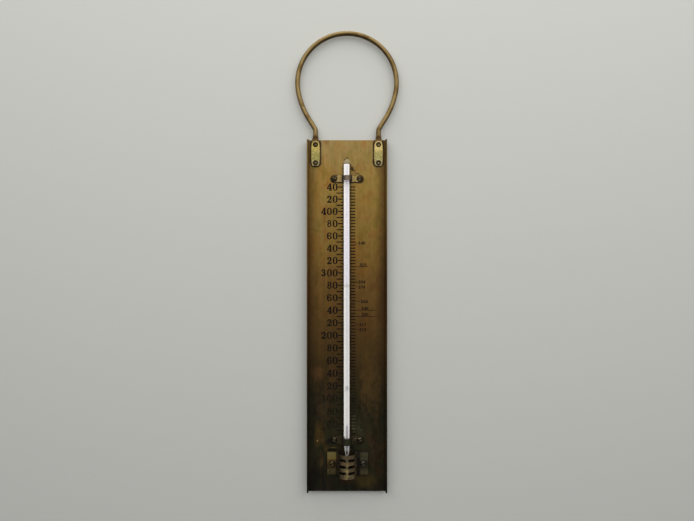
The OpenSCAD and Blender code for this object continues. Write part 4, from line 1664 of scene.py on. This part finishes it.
@dataclass
class MercuryTube:
    """The glass with its bulb, the enamel behind its bore and the mercury inside."""

    datum: Datum
    axis: float = 3.4
    tube: float = 2.75
    tube_to: float = 215.4
    bulb: float = 3.2
    bulb_low: float = 11.0
    bulb_high: float = 23.2
    wall: float = 0.5
    round_steps: int = 14
    neck: float = 1.25
    strip_left: float = 0.28
    strip_bend: tuple[float, float] = (26.0, 36.0)
    strip_thick: float = 0.3
    tip_root: float = 1.3
    tip_end: float = 0.35
    tip_length: float = 1.9
    tip_curl: float = 1.6
    tip_steps: int = 8
    bore: float = 0.45
    bore_end: float = 214.0
    drop_up: float = 27.0
    drop: float = 0.7
    thread: float = 0.41
    thread_low: float = 33.0
    thread_high: float = 40.2
    thread_rings: int = 90
    glass_sides: int = 48
    bore_sides: int = 24
    thread_sides: int = 16
    # The glass between bulb and tube: radius and height
    stem: Rows = ((1.25, 23.5), (1.5, 24.0), (2.0, 24.5), (2.25, 25.3))
    shoulder: Rows = ((2.4, 26.5), (2.6, 28.5), (2.75, 31.0))
    # The enamel: height, half width and distance behind the axis
    tongue: Rows = (
        (24.0, 0.4, 0.8),
        (24.5, 0.9, 1.0),
        (25.3, 1.15, 1.02),
        (26.5, 1.35, 1.1),
        (28.5, 1.58, 1.2),
    )
    strip: Rows = ((31.0, 1.76, 1.35), (33.0, 1.8, 1.35), (215.1, 1.8, 1.35))
    strip_top: Rows = ((215.45, 1.65, 1.35), (215.6, 1.35, 1.35))

    def _bulb(self, radius: float, until: float) -> Outline:
        """Returns the outline of the bulb or of its hollow, up to its neck.

        Args:
            radius: The bulb's radius or its hollow's.
            until: The neck's radius.

        Returns:
            Radius and height of each point, from bottom to top.
        """
        low, high = self.bulb_low + self.bulb, self.bulb_high - self.bulb
        stop = math.degrees(math.acos(until / radius))
        foot = arc((0.0, low), radius, -90.0, 0.0, self.round_steps)[1:]
        return [(0.0, low - radius)] + foot + arc((0.0, high), radius, 0.0, stop, self.round_steps)

    def _outside(self) -> Outline:
        """Draws the outline of the glass.

        Returns:
            Radius and height of each point, from the bulb's foot to the tip.
        """
        profile = self._bulb(self.bulb, self.neck)
        profile += [*self.stem, *self.shoulder, (self.tube, self.tube_to)]
        stop = math.degrees(math.acos(self.tip_root / self.tube))
        profile += arc((0.0, self.tube_to), self.tube, 0.0, stop, self.round_steps)[1:]
        root = profile[-1][1]
        end = self.tube_to + self.tube + self.tip_length
        for i in range(1, self.tip_steps + 1):
            share = i / self.tip_steps
            radius = self.tip_end + (self.tip_root - self.tip_end) * (1 - share) ** self.tip_curl
            profile.append((radius, root + (end - 0.3 - root) * share))
        return profile + [(0.25, end - 0.08), (0.0, end)]

    def _inside(self) -> Outline:
        """Draws the outline of the hollow in the glass.

        Returns:
            Radius and height of each point, from the bulb up the bore.
        """
        swell = arc((0.0, self.drop_up), self.drop, -50.0, 50.0, 10)
        profile = self._bulb(self.bulb - self.wall, self.bore)
        profile += [point for point in swell if point[0] > self.bore]
        profile += [(self.bore, self.drop_up + 0.8), (self.bore, self.bore_end - 0.3)]
        return profile + [(0.0, self.bore_end)]

    def _on_axis(self, mesh: Mesh) -> Mesh:
        """Returns a mesh turned about the Z axis, put on the tube's axis."""
        mesh.transform(Matrix.Translation(self.datum.at(0.0, 0.0, self.axis)))
        return mesh

    def _glass(self) -> Piece:
        """Blows the glass.

        Returns:
            The glass with its hollow.
        """
        glass, hollow = lathe(self._outside(), self.glass_sides), lathe(self._inside(), self.bore_sides)
        bmesh.ops.reverse_faces(hollow, faces=hollow.faces)
        spare = bpy.data.meshes.new("hollow")
        hollow.to_mesh(spare)
        hollow.free()
        glass.from_mesh(spare)
        bpy.data.meshes.remove(spare)
        return smoothed(placed("glass", self._on_axis(glass), GlassFinish(self.datum).made()), 60.0)

    def _enamel(self) -> Piece:
        """Makes the white strip behind the bore.

        Returns:
            The strip, with its round tongue in the neck.
        """
        strip = bmesh.new()
        rings = []
        start, end = self.strip_bend
        for up, half, behind in self.tongue + self.strip + self.strip_top:
            shift = self.strip_left * smoothstep((up - start) / (end - start))
            left, right, back = -half - shift, half - shift, behind + self.strip_thick
            corners = ((left, behind), (right, behind), (right, back), (left, back))
            rings.append([strip.verts.new(self.datum.at(x, up, self.axis - y)) for x, y in corners])
        join_rings(strip, rings)
        strip.faces.new(rings[0])
        strip.faces.new(rings[-1])
        bmesh.ops.recalc_face_normals(strip, faces=strip.faces)
        return smoothed(placed("enamel", strip, EnamelFinish(self.datum).made()), 30.0)

    def _thread(self, finish: Material) -> None:
        """Makes the stretch of the column that lengthens in the real thermometer as a plain mesh, with a ring
        at each short step.

        Args:
            finish: The mercury's material.
        """
        step = (self.thread_high - self.thread_low) / self.thread_rings
        rings = [(self.thread, self.thread_low + i * step) for i in range(self.thread_rings + 1)]
        turned = lathe([(0.0, self.thread_low), *rings, (0.0, self.thread_high)], self.thread_sides)
        thread = smoothed(placed("thread", self._on_axis(turned), finish), 60.0)
        start = self.datum.at(0.0, self.thread_low, self.axis)
        end = self.datum.at(0.0, self.thread_high, self.axis)
        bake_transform(thread)
        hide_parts("mercury_thread")
        LOG.info("thread: %d faces, stretched behind the column", len(thread.data.polygons))

    def build(self) -> None:
        """Makes the glass, the thread and the enamel, and dresses the rest of the mercury."""
        settled(self._glass(), "tube_glass", "glass_tube")
        mercury = MercuryFinish().made()
        self._thread(mercury)
        dressed(mercury, "bulb_mercury", "mercury_column_head", "mercury_bead")
        settled(self._enamel(), "enamel", "enamel_strip")


@dataclass
class DegreeScale:
    """The engraved lines and numbers, filled black."""

    datum: Datum
    first_up: float = 44.2
    last_up: float = 200.6
    bow: float = 1.0
    steps: int = 76
    below: int = 3
    inner: float = 2.0
    five: float = 3.9
    ten: float = 6.9
    label: float = 5.9
    right: float = 5.5
    thin: float = 0.74
    thick: float = 0.8
    proud: float = 0.05
    spread: float = 0.07
    index_spread: float = 0.056
    least_worn: float = 1.06
    most_worn: float = 0.86
    seed: int = 7

    def _lines(self, finish: Material) -> Piece:
        """Repeats the degree lines up both sides of the tube.

        Args:
            finish: The filling's material.

        Returns:
            The lines.
        """
        piece = placed("degree_lines", bpy.data.meshes.new("degree_lines"))
        sizes = {"Steps": self.steps, "Below": self.below, "Seed": self.seed, "Finish": finish}
        sizes["Pitch"] = (self.last_up - self.first_up) / self.steps * MM
        for name in ("bow", "inner", "five", "ten", "label", "right", "thin", "thick", "proud"):
            sizes[name.capitalize()] = getattr(self, name) * MM
        pattern = Pattern("degree_lines", sizes)
        size = pattern.size
        step = pattern.node("GeometryNodeInputIndex") - size("Below")
        even = 1 - abs(step) % 2
        labelled = pattern.maths("COMPARE", abs(step) % 4, 0.0, 0.5)
        left = size("Five") + even * (size("Ten") - size("Five")) + labelled * (size("Label") - size("Ten"))
        height = size("Thin") + labelled * (size("Thick") - size("Thin"))
        both = pattern.node("GeometryNodeJoinGeometry")
        for strip in (
            self._side(pattern, step, -1, left, height),
            self._side(pattern, step, 1, size("Right"), size("Thin")),
        ):
            pattern.tree.links.new(strip.socket, both.socket.node.inputs[0])
        return pattern.applied(piece, both)

    def _side(self, pattern: Pattern, step: Term, side: int, outer: Term, height: Term) -> Term:
        """Lays the lines of one side.

        Args:
            pattern: The tree.
            step: Each line's number, 0 at the lowest mark of the scale.
            side: -1 on the left and 1 on the right.
            outer: How far each line reaches from the centre line.
            height: How thick each line is.

        Returns:
            The lines as instances.
        """
        size, joined = pattern.size, pattern.joined
        inner, proud, pitch = size("Inner"), size("Proud"), size("Pitch")
        share = step / size("Steps")
        lift = share * (1 - share) * size("Bow") * 4
        foot = self.datum.at(0.0, self.first_up)
        row = {
            "Count": size("Steps") + size("Below") + 1,
            "Start Location": joined(foot.x, foot.y, foot.z - size("Below") * pitch),
            "Offset": joined(0.0, 0.0, pitch),
        }
        shifted = {
            "Geometry": pattern.node("GeometryNodeMeshLine", row, mode="OFFSET"),
            "Offset": joined((inner + outer) * (0.5 * side), proud * -0.5, lift),
        }
        random = {2: self.most_worn, 3: self.least_worn, 8: size("Seed")}
        worn = pattern.node("FunctionNodeRandomValue", random, 1, data_type="FLOAT")
        copies = {
            "Points": pattern.node("GeometryNodeSetPosition", shifted),
            "Instance": pattern.node("GeometryNodeMeshCube", {"Size": (1.0, 1.0, 1.0)}),
            "Scale": joined(outer - inner, proud, height * worn),
        }
        return pattern.node("GeometryNodeInstanceOnPoints", copies)

    def _figures(self, name: str, node: str, by: float, finish: Material) -> None:
        """Widens every stroke of flat figures, as filling spreads over the edges of its groove.

        Args:
            name: The piece's name.
            node: The solid that holds the figures.
            by: How far each edge moves out, in millimetres.
            finish: The filling's material.
        """
        figures = cleaned(copy_of(node), 1.0)
        figures.normal_update()
        moves = []
        for corner in figures.verts:
            walls = [face.normal for face in corner.link_faces if abs(face.normal.y) < 0.5]
            push = sum(walls, Vector())
            share = push.length_squared / max(len(walls), 1)
            moves.append(push * (by * MM / max(share, 0.6)) if walls else Vector())
        for corner, move in zip(figures.verts, moves):
            corner.co += Vector((move.x, 0.0, move.z))
        settled(placed(name, figures, finish), "black_filling", node)

    def build(self) -> None:
        """Makes the lines and fills the numbers."""
        finish = FillingFinish(self.datum).made()
        settled(self._lines(finish), "black_filling", "scale_marks")
        self._figures("scale_figures", "scale_numerals", self.spread, finish)
        self._figures("index_figures", "index_numbers", self.index_spread, finish)
        dressed(finish, "index_marks")


# Surroundings


class Lamp(Enum):
    """Soft lights: place, what they face, size, power and colour."""

    KEY = ((0.025, -0.424, 0.3), (0.0, 0.0, -0.109), 1.36, 8.6, (1.0, 0.995, 0.98))
    BEHIND = ((-0.3, 1.0, 0.5), (0.0, 0.0, -0.15), 0.9, 10.0, (1.0, 1.0, 1.0))


@dataclass
class Studio:
    """A pale board behind the object and a pale floor below it, with soft lights."""

    board_y: float = 3.75
    floor_z: float = -1000.0
    cove: float = 60.0
    half_width: float = 1400.0
    top_z: float = 900.0
    front_y: float = -1500.0
    colour: Colour = tone(196, 197, 192)
    world: Colour = (0.55, 0.555, 0.56)
    strength: float = 0.3

    def _backdrop(self) -> Piece:
        """Bends one sheet into the board, a cove and the floor.

        Returns:
            The sheet.
        """
        centre = (self.board_y - self.cove, self.floor_z + self.cove)
        side = [(self.board_y, self.top_z), *arc(centre, self.cove, 0.0, -90.0, 16)]
        sheet = bmesh.new()
        rows = [
            [sheet.verts.new((x * MM, y * MM, z * MM)) for x in (-self.half_width, self.half_width)]
            for y, z in side + [(self.front_y, self.floor_z)]
        ]
        for upper, lower in zip(rows, rows[1:]):
            sheet.faces.new((upper[0], lower[0], lower[1], upper[1]))
        backdrop = placed("backdrop", sheet, WallFinish(self.colour).made())
        backdrop.data.shade_smooth()
        backdrop.visible_shadow = False
        return backdrop

    def _light(self, lamp: Lamp) -> None:
        """Adds one soft light.

        Args:
            lamp: Which light.
        """
        place, target, size, power, colour = lamp.value
        light = bpy.data.lights.new(lamp.name.lower(), "AREA")
        light.shape = "DISK"
        light.size = size
        light.energy = power
        light.color = colour
        holder = placed(light.name, light)
        holder.location = place
        holder.rotation_euler = (Vector(target) - Vector(place)).to_track_quat("-Z", "Y").to_euler()
        holder.visible_camera = False
        LOG.info("light %s: %.1f W", light.name, power)

    def build(self) -> None:
        """Makes the backdrop, the lights and the pale world."""
        self._backdrop()
        for lamp in Lamp:
            self._light(lamp)
        world = bpy.data.worlds.new("pale_room")
        world.use_nodes = True
        shade = world.node_tree.nodes["Background"]
        shade.inputs["Color"].default_value = (*self.world, 1.0)
        shade.inputs["Strength"].default_value = self.strength
        bpy.context.scene.world = world
        bpy.context.scene.view_settings.view_transform = "Standard"


@dataclass
class Viewpoint:
    """The camera, level with the middle of the object and square to its face."""

    datum: Datum
    distance: float = 430.0
    height: float = 152.1
    lens: float = 33.8
    sensor: float = 36.0
    nearest: float = 10.0

    def build(self) -> None:
        """Puts the camera in the scene."""
        camera = bpy.data.cameras.new("camera")
        camera.lens = self.lens
        camera.sensor_width = self.sensor
        camera.clip_start = self.nearest * MM
        holder = placed("camera", camera)
        holder.location = self.datum.at(0.0, self.height, self.distance)
        holder.rotation_euler = (math.radians(90), 0.0, 0.0)
        bpy.context.scene.camera = holder


def main() -> None:
    """Builds the pieces in order, then their surroundings."""
    logging.basicConfig(level=logging.INFO, format="%(name)s: %(message)s")
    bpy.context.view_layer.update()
    low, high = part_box("scale_plate")
    datum = Datum(face_y=high.y - SHEET * MM, foot_z=low.z)
    for assembly in (ScalePlate, HangingLoop, TubeClips, BulbGuard, MercuryTube, DegreeScale):
        LOG.info("building %s", assembly.__name__)
        assembly(datum).build()
    Studio().build()
    Viewpoint(datum).build()


if __name__ == "__main__":
    main()
